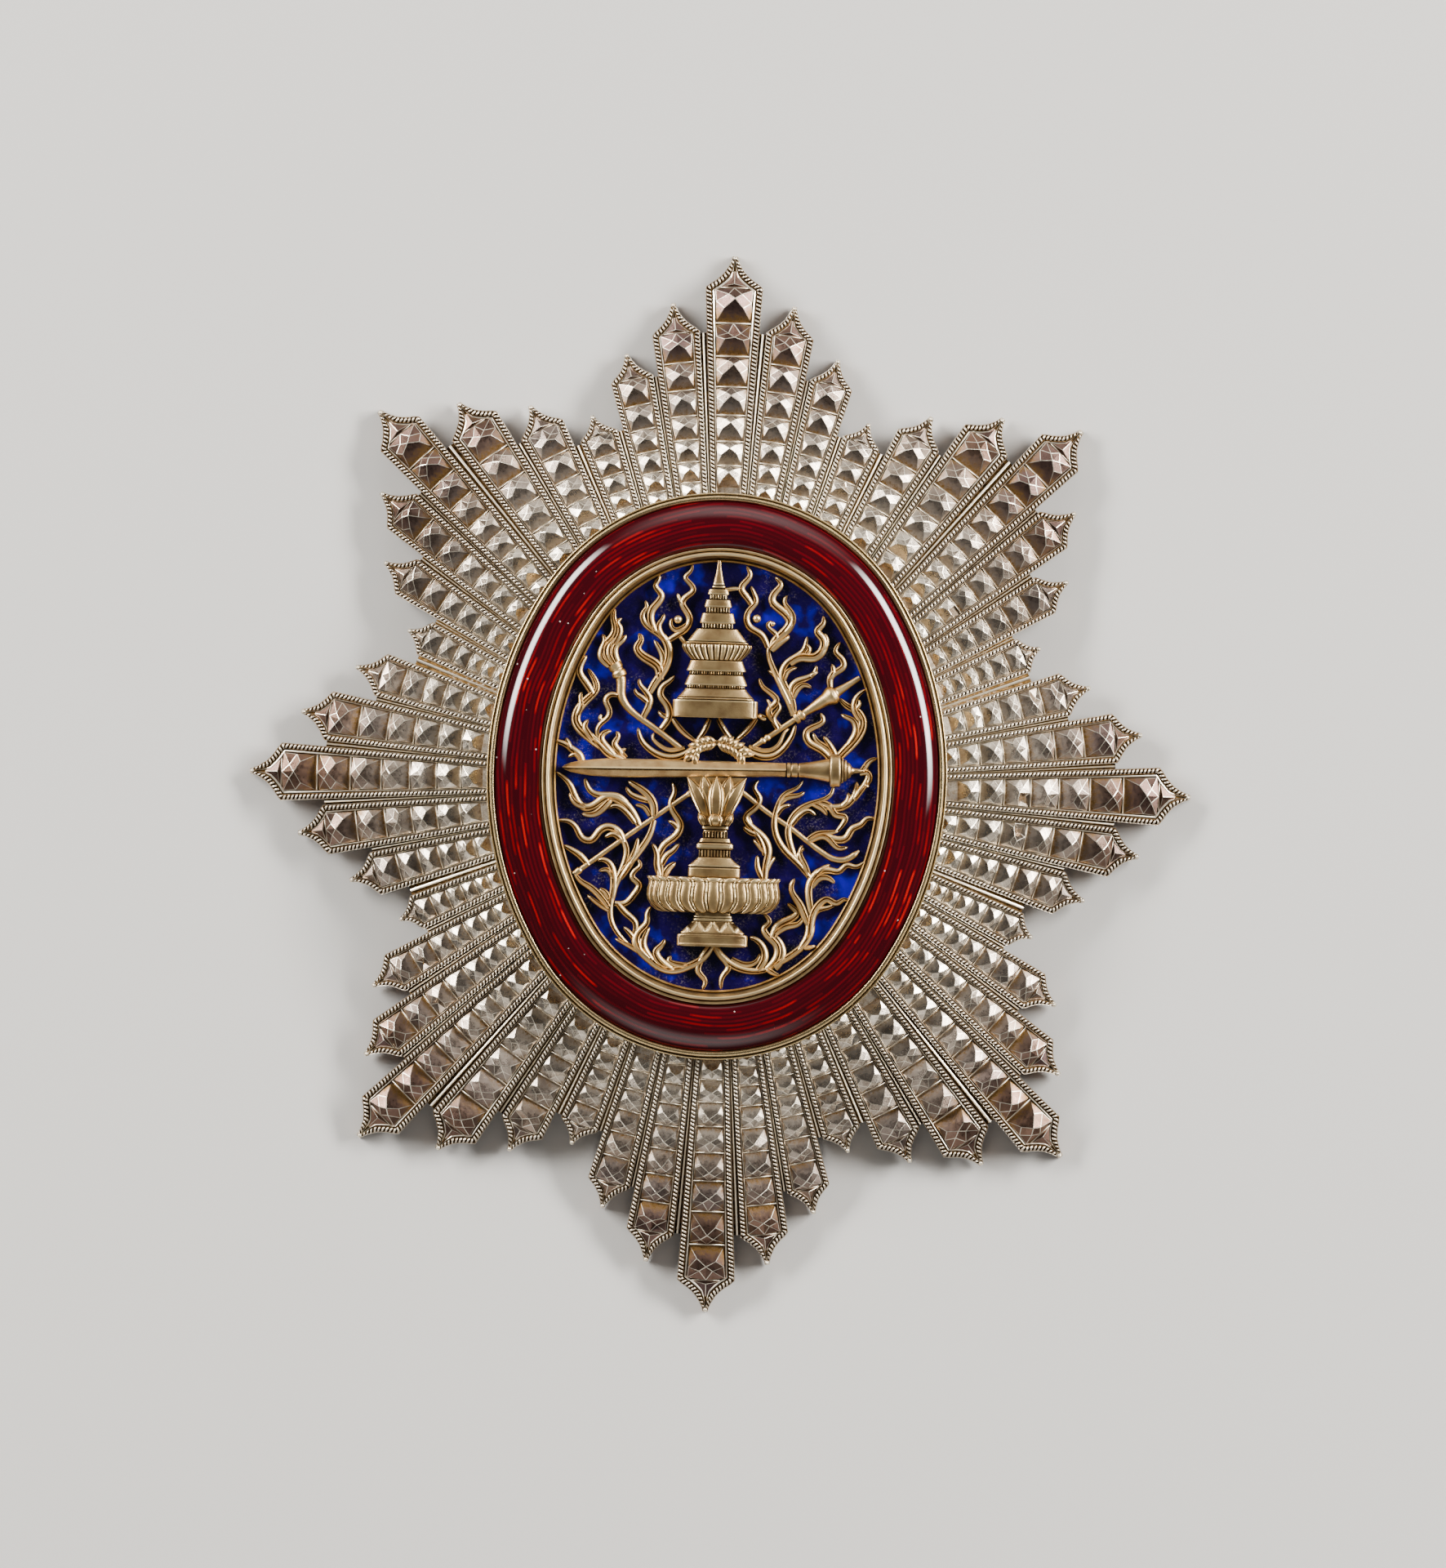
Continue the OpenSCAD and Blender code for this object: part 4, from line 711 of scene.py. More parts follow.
def rope_edge(i, side):
    """Half round of radius rho along a path. With g = (1 + cos(turn)) / 2, where turn runs with the
    way along the path and round the section, the rise is ROPE_RISE * rho / ROPE_RADIUS * sin(phi) *
    (1 - SLOT_DEPTH * g ** 0.9)."""
    r, v, mitre, border = ray_edge(i)
    rho = rope_radius(v, border)
    centre = np.column_stack([r, v]) + mitre * (LIP * 0.8 + rho)[:, None]
    centre[:, 1] = np.maximum(centre[:, 1], 0.6 * rho)
    way = np.concatenate([[0], np.cumsum(np.linalg.norm(np.diff(centre, axis=0), axis=1))])
    s = np.arange(HIDDEN_START, way[-1], ROPE_STEP)
    line = np.column_stack([np.interp(s, way, centre[:, k]) for k in (0, 1)])
    rho = np.interp(s, way, rho)
    inward = -sideways(line)
    turn = 2 * np.pi * (s[:, None] / ROPE_PITCH + side * STRAND_SLANT * ROUND / np.pi)
    slot = (0.5 + 0.5 * np.cos(turn)) ** 0.9
    out = rho[:, None] * np.cos(ROUND) * (1 - 0.1 * slot)
    rise = rho[:, None] / ROPE_RADIUS * ROPE_RISE * np.sin(ROUND) * (1 - SLOT_DEPTH * slot)
    rr = line[:, :1] - inward[:, :1] * out
    vv = np.maximum(line[:, 1:] - inward[:, 1:] * out, 0)
    top = on_ray(i, rr, side * vv, SEAT_H - 0.02 + rise)
    foot = on_ray(i, rr[:, ::4], side * vv[:, ::4], SEAT_H - 0.1)[:, ::-1]
    rings = np.concatenate([top, foot], axis=1)
    shade = np.zeros(rings.shape)
    # Painted shade in the slots and on the rope's sides, besides tarnish; a painted highlight with rub on the
    # strands' crests
    shade[:, :len(ROUND), 0] = 1.8 * slot ** 2 + 0.3 * (1 - np.sin(ROUND))
    shade[:, :len(ROUND), 1] = (1 - slot) * np.sin(ROUND)
    shade[..., 2] = MID_TONE
    return tube(rings, shade)


# %% Tip knob
KNOB_RINGS, KNOB_SIDES, KNOB_RADIUS, KNOB_RISE, KNOB_INSET = 5, 10, 0.2, 0.3, 0.17


def dome(rings, sides, top=np.pi / 2):
    """Angles of the points of a dome: lift from the foot to the top, and turn round its axis."""
    return np.meshgrid(np.linspace(0, top, rings), np.linspace(0, 2 * np.pi, sides + 1)[:-1],
                       indexing="ij")


def tip_knob(i):
    """The small round knob at a ray's point: a dome of rings round the place where the ropes meet."""
    lift, turn = dome(KNOB_RINGS, KNOB_SIDES)
    radius = KNOB_RADIUS * np.cos(lift)
    points = on_ray(i, tips[i] - KNOB_INSET + radius * np.cos(turn), radius * np.sin(turn),
                    SEAT_H - 0.05 + KNOB_RISE * np.sin(lift)).reshape(-1, 3)
    faces = outwards(points, [grid_faces(KNOB_RINGS, KNOB_SIDES, ring=True)])
    # A painted highlight with some rub on the knob
    return patch(points, faces, (0, 0.8, MID_TONE))


# %% [markdown]
# ## Faceted beads
# Each bead is cut like a small rose: a point near its outer end, a kite on either side, a long facet
# towards the middle and small triangles at the corners. All beads share one plan of faces, and their
# corners vary a bit. A Bevel modifier could wear the edges, but here every facet is drawn in a little
# towards its middle, and the gaps become narrow chamfers and corner faces. They have points of their
# own, so they can be pale as worn edges are, with a painted highlight along them.

# %% Bead solid
EDGE_WIDTH = 0.026
# Corners: 0 point, 1-4 ridge ends NW NE SW SE, 5-6 sides W E, 7-10 corners SW SE NW NE, 11 outer
# middle, 12-15 foot SW SE NE NW. x runs to the right and y outwards, both in shares of the bead.
BEAD_FACES = [
    [0, 3, 7, 8, 4], [0, 1, 5, 3], [0, 4, 6, 2], [0, 2, 11, 1], [1, 11, 9], [1, 9, 5], [3, 5, 7],
    [2, 10, 11], [2, 6, 10], [4, 8, 6], [9, 15, 12, 7, 5], [8, 13, 14, 10, 6], [10, 14, 15, 9, 11],
    [7, 12, 13, 8], [12, 15, 14, 13]]
TIP_FACES = [[0, 1, 2], [0, 2, 3], [0, 3, 1], [1, 4, 5, 2], [2, 5, 6, 3], [3, 6, 4, 1], [4, 6, 5]]


def chamfer_plan(faces):
    """Faces of the chamfered solid, whose points are the corners of each face in turn: the facets,
    a quad for every edge and a polygon for every corner."""
    start = np.cumsum([0] + [len(f) for f in faces])
    at = {(f, c): start[f] + k for f, face in enumerate(faces) for k, c in enumerate(face)}
    owner = {(face[k], face[(k + 1) % len(face)]): f
             for f, face in enumerate(faces) for k in range(len(face))}
    plan = [[at[f, c] for c in face] for f, face in enumerate(faces)]
    for (a, b), f in owner.items():
        if a < b:
            g = owner[b, a]
            plan.append([at[f, b], at[f, a], at[g, a], at[g, b]])
    for c in range(max(max(f) for f in faces) + 1):
        turn, first = [], next(f for f, face in enumerate(faces) if c in face)
        f = first
        while not turn or f != first:
            turn.append(at[f, c])
            face = faces[f]
            f = owner[c, face[face.index(c) - 1]]
        plan.append(turn)
    return plan


def chamfered(corners, faces, plan, wear_and_light):
    """A patch of n solids with c corners each. Every facet is scaled towards its middle by EDGE_WIDTH
    over half its mean radius. wear_and_light gives recess (tarnish and painted shade), rub and tone at
    each corner; the chamfers get rub with painted highlight of 0.9 less 0.9 of the recess, and share no point
    with the facets."""
    drawn_in, shade = [], []
    for face in faces:
        ring = corners[:, face]
        middle = ring.mean(1, keepdims=True)
        radius = np.linalg.norm(ring - middle, axis=2).mean(1)[:, None, None]
        drawn_in.append(ring + (middle - ring) * np.minimum(EDGE_WIDTH / (0.5 * radius), 0.4))
        shade.append(wear_and_light[:, face])
    points, shade = np.concatenate(drawn_in, 1), np.concatenate(shade, 1)
    offset = (np.arange(len(points)) * points.shape[1])[:, None]
    points, shade = points.reshape(-1, 3), shade.reshape(-1, 3)
    edge = shade.copy()
    edge[:, 1] = np.clip(0.9 - 0.9 * edge[:, 0], 0, 1)
    edge[:, 0] *= 0.6
    blocks = [np.array(face)[None] + offset + (f >= len(faces)) * len(points)
              for f, face in enumerate(plan)]
    return patch(np.concatenate([points, points]), blocks, np.concatenate([shade, edge]), smooth=False)


BEAD_PLAN, TIP_PLAN = chamfer_plan(BEAD_FACES), chamfer_plan(TIP_FACES)
print("bead faces", len(BEAD_PLAN), "tip faces", len(TIP_PLAN))


# %% Bead rows
BEAD_RATIO, BEAD_FILL, BEAD_RISE = 0.925, 0.945, 0.31


def bead_lines(i):
    """Distances of the lines between the beads, from the shoulder inwards, each bead a little shorter
    than the one outside it."""
    lines = [shoulders[i]]
    length = 2 * half_width(i, shoulders[i]) * RAYS[i, 4]
    while lines[-1] - length > inner[i] + 0.4:
        lines.append(lines[-1] - length)
        length *= BEAD_RATIO
    return np.array(lines)


def bead_corners(n):
    """n beads in shares of their size. The inward facet is the plane through the point and the inner
    edge; the kites' planes hold the point, the ridge end and the side corner, so both are flat."""
    px, py = rng.normal(0, 0.03, n), rng.uniform(0.08, 0.26, n)
    sw = np.stack([-0.27 + rng.normal(0, 0.025, n), -0.05 + rng.normal(0, 0.04, n)])
    se = np.stack([0.27 + rng.normal(0, 0.025, n), -0.05 + rng.normal(0, 0.04, n)])
    slope = 1 / (py + 0.5)
    sw_z, se_z = slope * (sw[1] + 0.5), slope * (se[1] + 0.5)
    side_y, side_z = 0.1 + rng.normal(0, 0.03, (2, n)), 0.3 + rng.normal(0, 0.03, (2, n))
    ends = []
    for sign, low, low_z, k in ((-1, sw, sw_z, 0), (1, se, se_z, 1)):
        a = np.stack([low[0] - px, low[1] - py, sign * 0.48 - px, side_y[k] - py], -1).reshape(n, 2, 2)
        b = np.stack([low_z - 1, side_z[k] - 1], -1)[..., None]
        tilt = np.linalg.solve(a, b)[..., 0]
        x, y = sign * 0.18 + px, np.minimum(py + 0.13, 0.42)
        ends.append(np.stack([x, y, 1 + tilt[:, 0] * (x - px) + tilt[:, 1] * (y - py)], -1))
    one = np.ones(n)
    corner = [np.stack([px, py, one], -1), ends[0], ends[1], np.stack([*sw, sw_z], -1),
              np.stack([*se, se_z], -1), np.stack([-0.48 * one, side_y[0], side_z[0]], -1),
              np.stack([0.48 * one, side_y[1], side_z[1]], -1)]
    for x, y, z in ((-0.5, -0.5, 0.0), (0.5, -0.5, 0.0), (-0.5, 0.46, 0.12), (0.5, 0.46, 0.12),
                    (0, 0.52, 0.34), (-0.5, -0.5, -0.2), (0.5, -0.5, -0.2), (0.5, 0.46, -0.2),
                    (-0.5, 0.46, -0.2)):
        corner.append(np.stack([x * one, y * one, z * one], -1))
    return np.stack(corner, 1)


# %% Bead wires and rows
# Recess at each corner of a bead (tarnish with painted shade, most at the foot), and the section of a wire:
# shares of the bead's length and heights
BEAD_RECESS = np.array([0, 0.05, 0.05, 0.15, 0.15, 0.4, 0.4, 0.8, 0.8, 0.7, 0.7, 0.35, 1, 1, 1, 1])
WIRE_ACROSS = np.array([-1, -1, -0.6, 0, 0.6, 1, 1]) * 0.026
WIRE_HEIGHT = FLOOR_H + np.array([-0.1, 0.06, 0.15, 0.19, 0.15, 0.06, -0.1])
# The outermost bead's outer corners are raised, because no other bead stands behind them
FIRST_OUTER, FIRST_HEIGHTS, FIRST_RECESS = slice(9, 12), (0.36, 0.36, 0.5), 0.3
# Pyramid in the tip: share of the way from shoulder to tip, share of its half base, height
TIP_CORNERS = np.array([[0.13, 0, 0.5], [0.02, 1, 0.06], [0.02, -1, 0.06], [0.54, 0, 0.16],
                        [0.02, 1, -0.1], [0.02, -1, -0.1], [0.54, 0, -0.1]])
# Painted shade with tarnish at the tip pyramid's corners, most at its foot
TIP_RECESS = [0, 0.5, 0.5, 0.3, 1, 1, 1]
TIP_BASE, TIP_OVERLAP = 0.58, 0.03


def cross_wires(i, lines):
    """A thin bright wire across the ray at every line between two beads: a flat arch over two feet,
    at both ends of the wire."""
    wires = []
    for r, gap in zip(lines[:-1], lines[:-1] - lines[1:]):
        reach = half_width(i, r) - border_of(half_width(i, r))
        ends = [on_ray(i, r + WIRE_ACROSS * gap, side * reach, WIRE_HEIGHT) for side in (-1, 1)]
        # Pale with rub and a painted highlight
        wires.append(tube(np.stack(ends), (0.1, 0.9, MID_TONE)))
    return wires


def ray_beads(i):
    """The row of beads on a ray, the wires between them and the small pyramid at its tip."""
    lines = bead_lines(i)
    n = len(lines) - 1
    corners = bead_corners(n)
    middle, length = (lines[:-1] + lines[1:]) / 2, (lines[:-1] - lines[1:]) * BEAD_FILL
    corners[0, FIRST_OUTER, 2] = FIRST_HEIGHTS
    r = middle[:, None] + corners[..., 1] * length[:, None]
    width = half_width(i, r)
    bead_half = width - border_of(width)
    rise = 2 * bead_half.mean(1) * BEAD_RISE * rng.uniform(0.92, 1.06, n)
    placed = on_ray(i, r, -corners[..., 0] * 2 * bead_half, FLOOR_H + corners[..., 2] * rise[:, None])
    wear_and_light = np.zeros(placed.shape)
    wear_and_light[..., 0] = BEAD_RECESS * rng.uniform(0.85, 1.1, (n, 1))
    wear_and_light[0, FIRST_OUTER, 0] = FIRST_RECESS
    wear_and_light[..., 2] = rng.uniform(0, 1, (n, 1))
    along, across, height = TIP_CORNERS.T
    spot = on_ray(i, shoulders[i] - TIP_OVERLAP + along * (tips[i] - shoulders[i]),
                  across * TIP_BASE * half_width(i, shoulders[i]), FLOOR_H + height)[None]
    shade = np.zeros(spot.shape)
    shade[0, :, 0] = TIP_RECESS
    shade[0, :, 2] = rng.uniform()
    return [chamfered(placed, BEAD_FACES, BEAD_PLAN, wear_and_light), *cross_wires(i, lines),
            chamfered(spot, TIP_FACES, TIP_PLAN, shade)]


# %% [markdown]
# ## Ground between the rays
# From the hub to just below their shoulders, neighbouring rays are joined by a thin ground with a
# smooth wire along its middle. One sheet under all rays could close the gaps, but it would have to
# follow each ray's bend, so every gap gets a closed bar whose section runs from one ray to the next.

# %% Ground
# Share of the way from edge to edge and height of the section's points, then recess (painted shade with
# tarnish) and rub with painted highlight
GROUND_ACROSS = np.array([[0, 0], [0, 0.6], [0.3, 0.6], [0.37, 0.84], [0.5, 0.9], [0.63, 0.84],
                          [0.7, 0.6], [1, 0.6], [1, 0]])
GROUND_SHADE = np.array([[1, 0], [1, 0], [1, 0], [0, 0.9], [0, 1], [0, 0.9], [1, 0], [1, 0], [1, 0]])
GROUND_STEPS, GROUND_OVERLAP, GROUND_STOP = 9, 0.01, 0.2


def ground(i):
    """The bar between ray i and the next: shares from 0 to 1 across from edge to edge, and heights
    above the underside."""
    nxt = (i + 1) % COUNT
    r = np.linspace(inner[i], min(shoulders[i], shoulders[nxt]) - GROUND_STOP,
                    GROUND_STEPS)
    r_next = np.linspace(inner[nxt], r[-1], GROUND_STEPS)
    near, far = half_width(i, r) - GROUND_OVERLAP, half_width(nxt, r_next) - GROUND_OVERLAP
    rings = []
    for share, height in GROUND_ACROSS:
        a, b = on_ray(i, r, near, height), on_ray(nxt, r_next, -far, height)
        rings.append(a + (b - a) * share)
    rings = np.stack(rings, 1)
    shade = np.column_stack([GROUND_SHADE, np.full(len(GROUND_SHADE), MID_TONE)])
    return tube(rings, np.broadcast_to(shade, rings.shape), smooth=False)


# %% Star pieces
RAYS_EACH = 6
for first in range(0, COUNT, RAYS_EACH):
    parts = []
    for i in range(first, first + RAYS_EACH):
        parts += [ray_plate(i), rope_edge(i, 1), rope_edge(i, -1), tip_knob(i), ground(i),
                  *ray_beads(i)]
    piece(f"star_rays_{first // RAYS_EACH + 1}", parts, SILVER, ["star_body"])

# %% [markdown]
# ## Hub
# Below the medallion the rays run together into a thick flat hub. It is a stack of rings round the
# centre: the top, its edge, the cone down to the rays and the flat seat of the brooch pin.

# %% Hub
HUB_TOP, HUB_UNDER, SEAT_SHARE = 6.9, 5.7, 0.8


def hub():
    """Rings of points at the rays' angles, from the middle of the top to the middle of the seat."""
    r = inner + 0.06
    foot = np.array([underside(i, inner[i]) for i in range(COUNT)]) + 0.01
    rings = [(0.02 * r, HUB_TOP), (0.98 * r, HUB_TOP), (r, HUB_TOP - 0.1), (r, foot + 0.3), (r, foot),
             (SEAT_SHARE * inner, HUB_UNDER), (0.02 * r, HUB_UNDER)]
    points = np.stack([np.column_stack([radius * np.cos(radians), radius * np.sin(radians),
                                        np.broadcast_to(height, COUNT)]) for radius, height in rings])
    return tube(points, (0.25, 0, MID_TONE), smooth=False)


piece("star_hub", [hub()], SILVER, ["star_body"])

# %% [markdown]
# ## The oval rings
# Mount, red enamel and bezel are rings whose section stays the same all round. A curve with a bevel
# profile could make them, but points worked out here also give the enamel a UV map in millimetres.
# The oval is four arcs that meet without a kink, so a step inwards is only a smaller radius about the
# same centres.

# %% Oval
end_centre = MEDAL_H - END_RADIUS
side_radius = (MEDAL_W ** 2 + end_centre ** 2 - END_RADIUS ** 2) / (2 * (MEDAL_W - END_RADIUS))
side_centre = side_radius - MEDAL_W
junction = math.atan2(end_centre, side_centre)
# Middle x, y, radius, first angle and sweep of each arc
ARCS = [(-side_centre, 0, side_radius, -junction, 2 * junction),
        (0, end_centre, END_RADIUS, junction, math.pi - 2 * junction),
        (side_centre, 0, side_radius, math.pi - junction, 2 * junction),
        (0, -end_centre, END_RADIUS, math.pi + junction, math.pi - 2 * junction)]
ARC_STEPS = 64
TRAY_Z, ENAMEL_Z, FRET_Z, CREST_Z = 6.95, 7.4, 8.65, 9.2


def oval_ring(section, wear_and_light=(0, 0)):
    """Section points (step outside the oval's edge, height) carried round the oval. The UV map is in
    mm: the way round, and the step inwards."""
    share = np.arange(ARC_STEPS) / ARC_STEPS
    cx, cy, radius, first, sweep = np.repeat(np.transpose(ARCS), ARC_STEPS, axis=1)
    turn = first + sweep * np.tile(share, len(ARCS))
    way = np.concatenate([[0], np.cumsum(radius * sweep / ARC_STEPS)])
    step, height = np.asarray(section, float).T
    reach = radius[:, None] + step
    rings = np.stack([MEDAL_AT[0] + cx[:, None] + reach * np.cos(turn)[:, None],
                      MEDAL_AT[1] + cy[:, None] + reach * np.sin(turn)[:, None],
                      np.broadcast_to(height, reach.shape)], -1)
    columns = len(section)

    def uv(block):
        """Way and step at each corner; the last row of faces ends at the full way round."""
        row, column = block // columns, block % columns
        wraps = (row == 0) & (row.max(1, keepdims=True) == len(turn) - 1)
        return np.stack([way[np.where(wraps, len(turn), row)], -step[column]], -1).reshape(-1, 2)

    shade = np.full(rings.shape, MID_TONE)
    shade[..., :2] = wear_and_light
    return loop(rings, uv, shade)


ROUND_POINTS = 3


def rounded(section, radius=0.05):
    """The section with each corner cut into a short arc of ROUND_POINTS points."""
    section = np.asarray(section, float)
    back, ahead = np.roll(section, 1, 0) - section, np.roll(section, -1, 0) - section
    near = np.minimum(np.linalg.norm(back, axis=1), np.linalg.norm(ahead, axis=1)) * 0.45
    cut = np.minimum(radius, near)[:, None]
    back = back / np.linalg.norm(back, axis=1)[:, None] * cut
    ahead = ahead / np.linalg.norm(ahead, axis=1)[:, None] * cut
    t = np.linspace(0, 1, ROUND_POINTS)[None, :, None]
    curve = section[:, None] + back[:, None] * (1 - t) ** 2 + ahead[:, None] * t ** 2
    return curve.reshape(-1, 2)


# %% Mount
# Step outside the oval, height above the tray, recess (painted shade) and rub with painted highlight of the
# section's corners
MOUNT = np.array([
    [-6, 0, 0.3, 0], [0.25, 0, 0.3, 0], [0.25, 0.55, 0.1, 0.4], [0.17, 0.65, 0, 0.8],
    [0.07, 0.6, 0.5, 0.2], [0.03, 0.35, 1, 0], [0, 0.4, 1, 0], [-0.02, 1.3, 0.3, 0.2],
    [-0.14, 1.5, 0, 0.5], [-0.33, 1.5, 0, 0.5], [-0.45, 1.36, 0.3, 0.1], [-0.47, 1.2, 1, 0],
    [-0.47, 0.4, 1, 0], [-6, 0.4, 1, 0]])
rim = oval_ring(rounded(MOUNT[:, :2] + (0, TRAY_Z)), np.repeat(MOUNT[:, 2:], ROUND_POINTS, axis=0))
piece("medallion_mount", [rim], MOUNT_GOLD, ["ring_mount"], sharp_angle=50)

# %% Red band
# Steps inside the oval, and heights, of the band's edges; then its crown in shares of both
RED_OUT, RED_IN, RED_EDGE, RED_CREST = 0.52, 4.42, 8.3, 9.5
SMOOTHINGS = 6
red_curve = np.array([(0, 0), (0.05, 0.16), (0.14, 0.37), (0.27, 0.62), (0.42, 0.82), (0.56, 0.94),
                      (0.68, 1), (0.78, 1.0), (0.87, 0.95), (0.95, 0.84), (1, 0.72)])
fine_share = np.linspace(0, 1, 34)
smooth_curve = np.interp(fine_share, red_curve[:, 0], red_curve[:, 1])
for _ in range(SMOOTHINGS):
    smooth_curve[1:-1] = (smooth_curve[:-2] + 2 * smooth_curve[1:-1] + smooth_curve[2:]) / 4
crown = np.column_stack([-RED_OUT - fine_share * (RED_IN - RED_OUT),
                         RED_EDGE + smooth_curve * (RED_CREST - RED_EDGE)])
red_section = np.vstack([[(-RED_IN, ENAMEL_Z), (-RED_OUT, ENAMEL_Z)], crown])
piece("red_enamel_band", [oval_ring(red_section)], RED, ["red_enamel"], sharp_angle=60)

# %% Bezel
BEZEL_OUT, BEZEL_IN, BEZEL_TOP = 4.47, 5.4, 9.8
# Step outside the oval, height, recess (painted shade) and rub with painted highlight of the section's
# corners
BEZEL = np.array([
    [-BEZEL_IN, ENAMEL_Z, 1, 0], [-BEZEL_OUT, ENAMEL_Z, 1, 0], [-BEZEL_OUT, 9.42, 0.4, 0],
    [-4.52, 9.5, 0.1, 0.3], [-4.7, 9.5, 0.2, 0.1], [-4.74, 9.32, 1, 0], [-4.79, 9.34, 1, 0],
    [-4.82, 9.62, 0.3, 0.2], [-4.9, 9.76, 0, 0.7], [-5.0, BEZEL_TOP, 0, 0.9], [-5.1, 9.76, 0, 0.7],
    [-5.17, 9.64, 0.3, 0.2], [-5.2, 9.5, 0.7, 0], [-5.26, 9.45, 0.45, 0], [-BEZEL_IN, 9.05, 0.8, 0]])
bezel = oval_ring(rounded(BEZEL[:, :2], 0.04), np.repeat(BEZEL[:, 2:], ROUND_POINTS, axis=0))
piece("stepped_bezel", [bezel], PALE_GOLD, ["inner_bezel"], sharp_angle=50)

# %% Foot ring
# The narrow ring that carries the flame work stands inside the bezel and joins the flames' piece
FOOT_OUT, FOOT_IN, FOOT_Z = 5.45, 5.67, 8.62
FOOT = [(-FOOT_IN, FOOT_Z), (-FOOT_OUT, FOOT_Z), (-FOOT_OUT, 8.95), (-FOOT_OUT - 0.1, 9.05),
        (-FOOT_IN, 8.9)]
# The foot ring gets painted shade, as it stands deep inside the bezel, and a faint painted highlight
foot_ring = oval_ring(rounded(FOOT, 0.03), (0.55, 0.1))
print("foot ring", len(foot_ring["points"]), "points")

# %% [markdown]
# ## Stands
# The two stands are low reliefs that look like turned and carved towers seen from the front. Each is
# a grid: the table gives the half width at every height, the section is a flattened half round, and
# bands of teeth, flutes and triangles are added to its depth. Sculpting could carve them, but the
# cutter worked with lines and even rows, and a formula keeps these crisp.


# %% Relief grid
RELIEF_DEPTH, RELIEF_POWER = 1.5, 0.6
FOOT_DEPTH, FOOT_RECESS = 0.4, 0.8


def relief(table, axis_x, widest, carve, step=0.06, columns=97, depth=RELIEF_DEPTH, power=0.3):
    """Points (axis_x + half * sin(t), y, depth * (half / widest) ** 0.6 * cos(t) ** power) for t from
    -90 to 90 degrees, plus what carve adds to the depth and shifts up. A small power is boxy."""
    table = np.asarray(table, float)
    heights = np.concatenate([np.linspace(a, b, max(2, int(abs(b - a) / step) + 1), endpoint=False)
                              for a, b in zip(table[:-1, 0], table[1:, 0])] + [table[-1:, 0]])
    half = np.interp(heights, table[:, 0], table[:, 1])
    slope = np.abs(np.gradient(half)) / np.maximum(np.gradient(heights), 1e-6)
    half = half[:, None]
    y, t = np.meshgrid(heights, np.linspace(-np.pi / 2, np.pi / 2, columns), indexing="ij")
    x = half * np.sin(t)
    more, lift, recess, rub_and_highlight = carve(x, y, half, t)
    z = depth * (half / widest) ** RELIEF_POWER * np.cos(t).clip(0, 1) ** power
    z = z + more * np.cos(t).clip(0, 1) ** 0.5
    # Painted shade on the relief's steep sides and where its outline steps
    recess = recess + 0.25 * np.abs(np.sin(t)) ** 8 + 0.1 * np.clip(slope - 4, 0, 2)[:, None]
    return bar(np.stack([axis_x + x, y + lift], -1), CREST_Z + z, CREST_Z - FOOT_DEPTH, recess,
               rub_and_highlight, FOOT_RECESS)


def inside(y, low, high, soft=0.03):
    """1 between two heights, falling to 0 over a soft edge."""
    return np.clip((y - low) / soft + 0.5, 0, 1) * np.clip((high - y) / soft + 0.5, 0, 1)


def teeth(x, pitch):
    """Square-edged wave for a row of dentils, 1 on a tooth and 0 between."""
    return np.clip(0.5 + 2.2 * np.cos(2 * np.pi * x / pitch), 0, 1)


def bands(y, places, half, soft=0.03):
    """Sum of narrow bands that reach half to both sides of each place."""
    return sum(inside(y, at - half, at + half, soft) for at in places)


def dentils(x, y, rows):
    """What rows of square teeth add to depth, to painted shade between the teeth and to a painted highlight
    on them. A row is (low, high, pitch).
    """
    more, recess, rub_and_highlight = 0 * x, 0 * x, 0 * x
    for low, high, pitch in rows:
        band, tooth = inside(y, low, high), teeth(x, pitch)
        more += band * (0.2 * tooth - 0.14)
        recess += band * 0.85 * (1 - tooth)
        rub_and_highlight += band * 0.4 * tooth
    return more, recess, rub_and_highlight


# %% Upper stand
# Heights with the half widths there
UPPER = [(4.94, 3.5), (5.0, 3.6), (6.3, 3.6), (6.4, 3.55), (6.46, 3.28), (6.62, 3.22), (6.66, 3.2),
         (6.9, 2.95), (7.2, 2.7), (7.3, 2.62), (7.4, 2.6), (7.44, 2.46), (7.64, 2.46), (7.68, 2.64),
         (7.78, 2.64), (8.45, 2.36), (8.55, 2.32), (8.6, 2.3), (8.84, 2.3), (8.88, 2.5), (8.96, 2.52),
         (9.5, 2.3), (9.62, 2.26), (9.76, 2.22), (9.8, 2.1), (9.86, 2.15), (10.1, 2.42), (10.5, 2.76),
         (10.9, 2.98), (11.1, 2.94), (11.18, 2.72), (11.24, 2.66), (11.34, 2.6), (11.38, 2.42),
         (11.42, 2.5), (11.9, 2.14), (12.38, 1.76), (12.46, 1.72), (12.5, 1.36), (12.88, 1.34),
         (12.92, 1.46), (13.02, 1.5), (13.7, 1.34), (13.8, 1.3), (13.84, 1.02), (14.24, 1.0),
         (14.28, 1.14), (14.4, 1.16), (14.85, 1.04), (14.94, 1.0), (14.98, 0.76), (15.32, 0.74),
         (15.36, 0.88), (15.46, 0.9), (15.76, 0.82), (15.84, 0.78), (15.88, 0.52), (16.0, 0.56),
         (16.1, 0.54), (16.16, 0.44), (16.22, 0.5), (16.32, 0.46), (17.0, 0.3), (17.5, 0.21),
         (18.0, 0.15), (18.25, 0.12)]
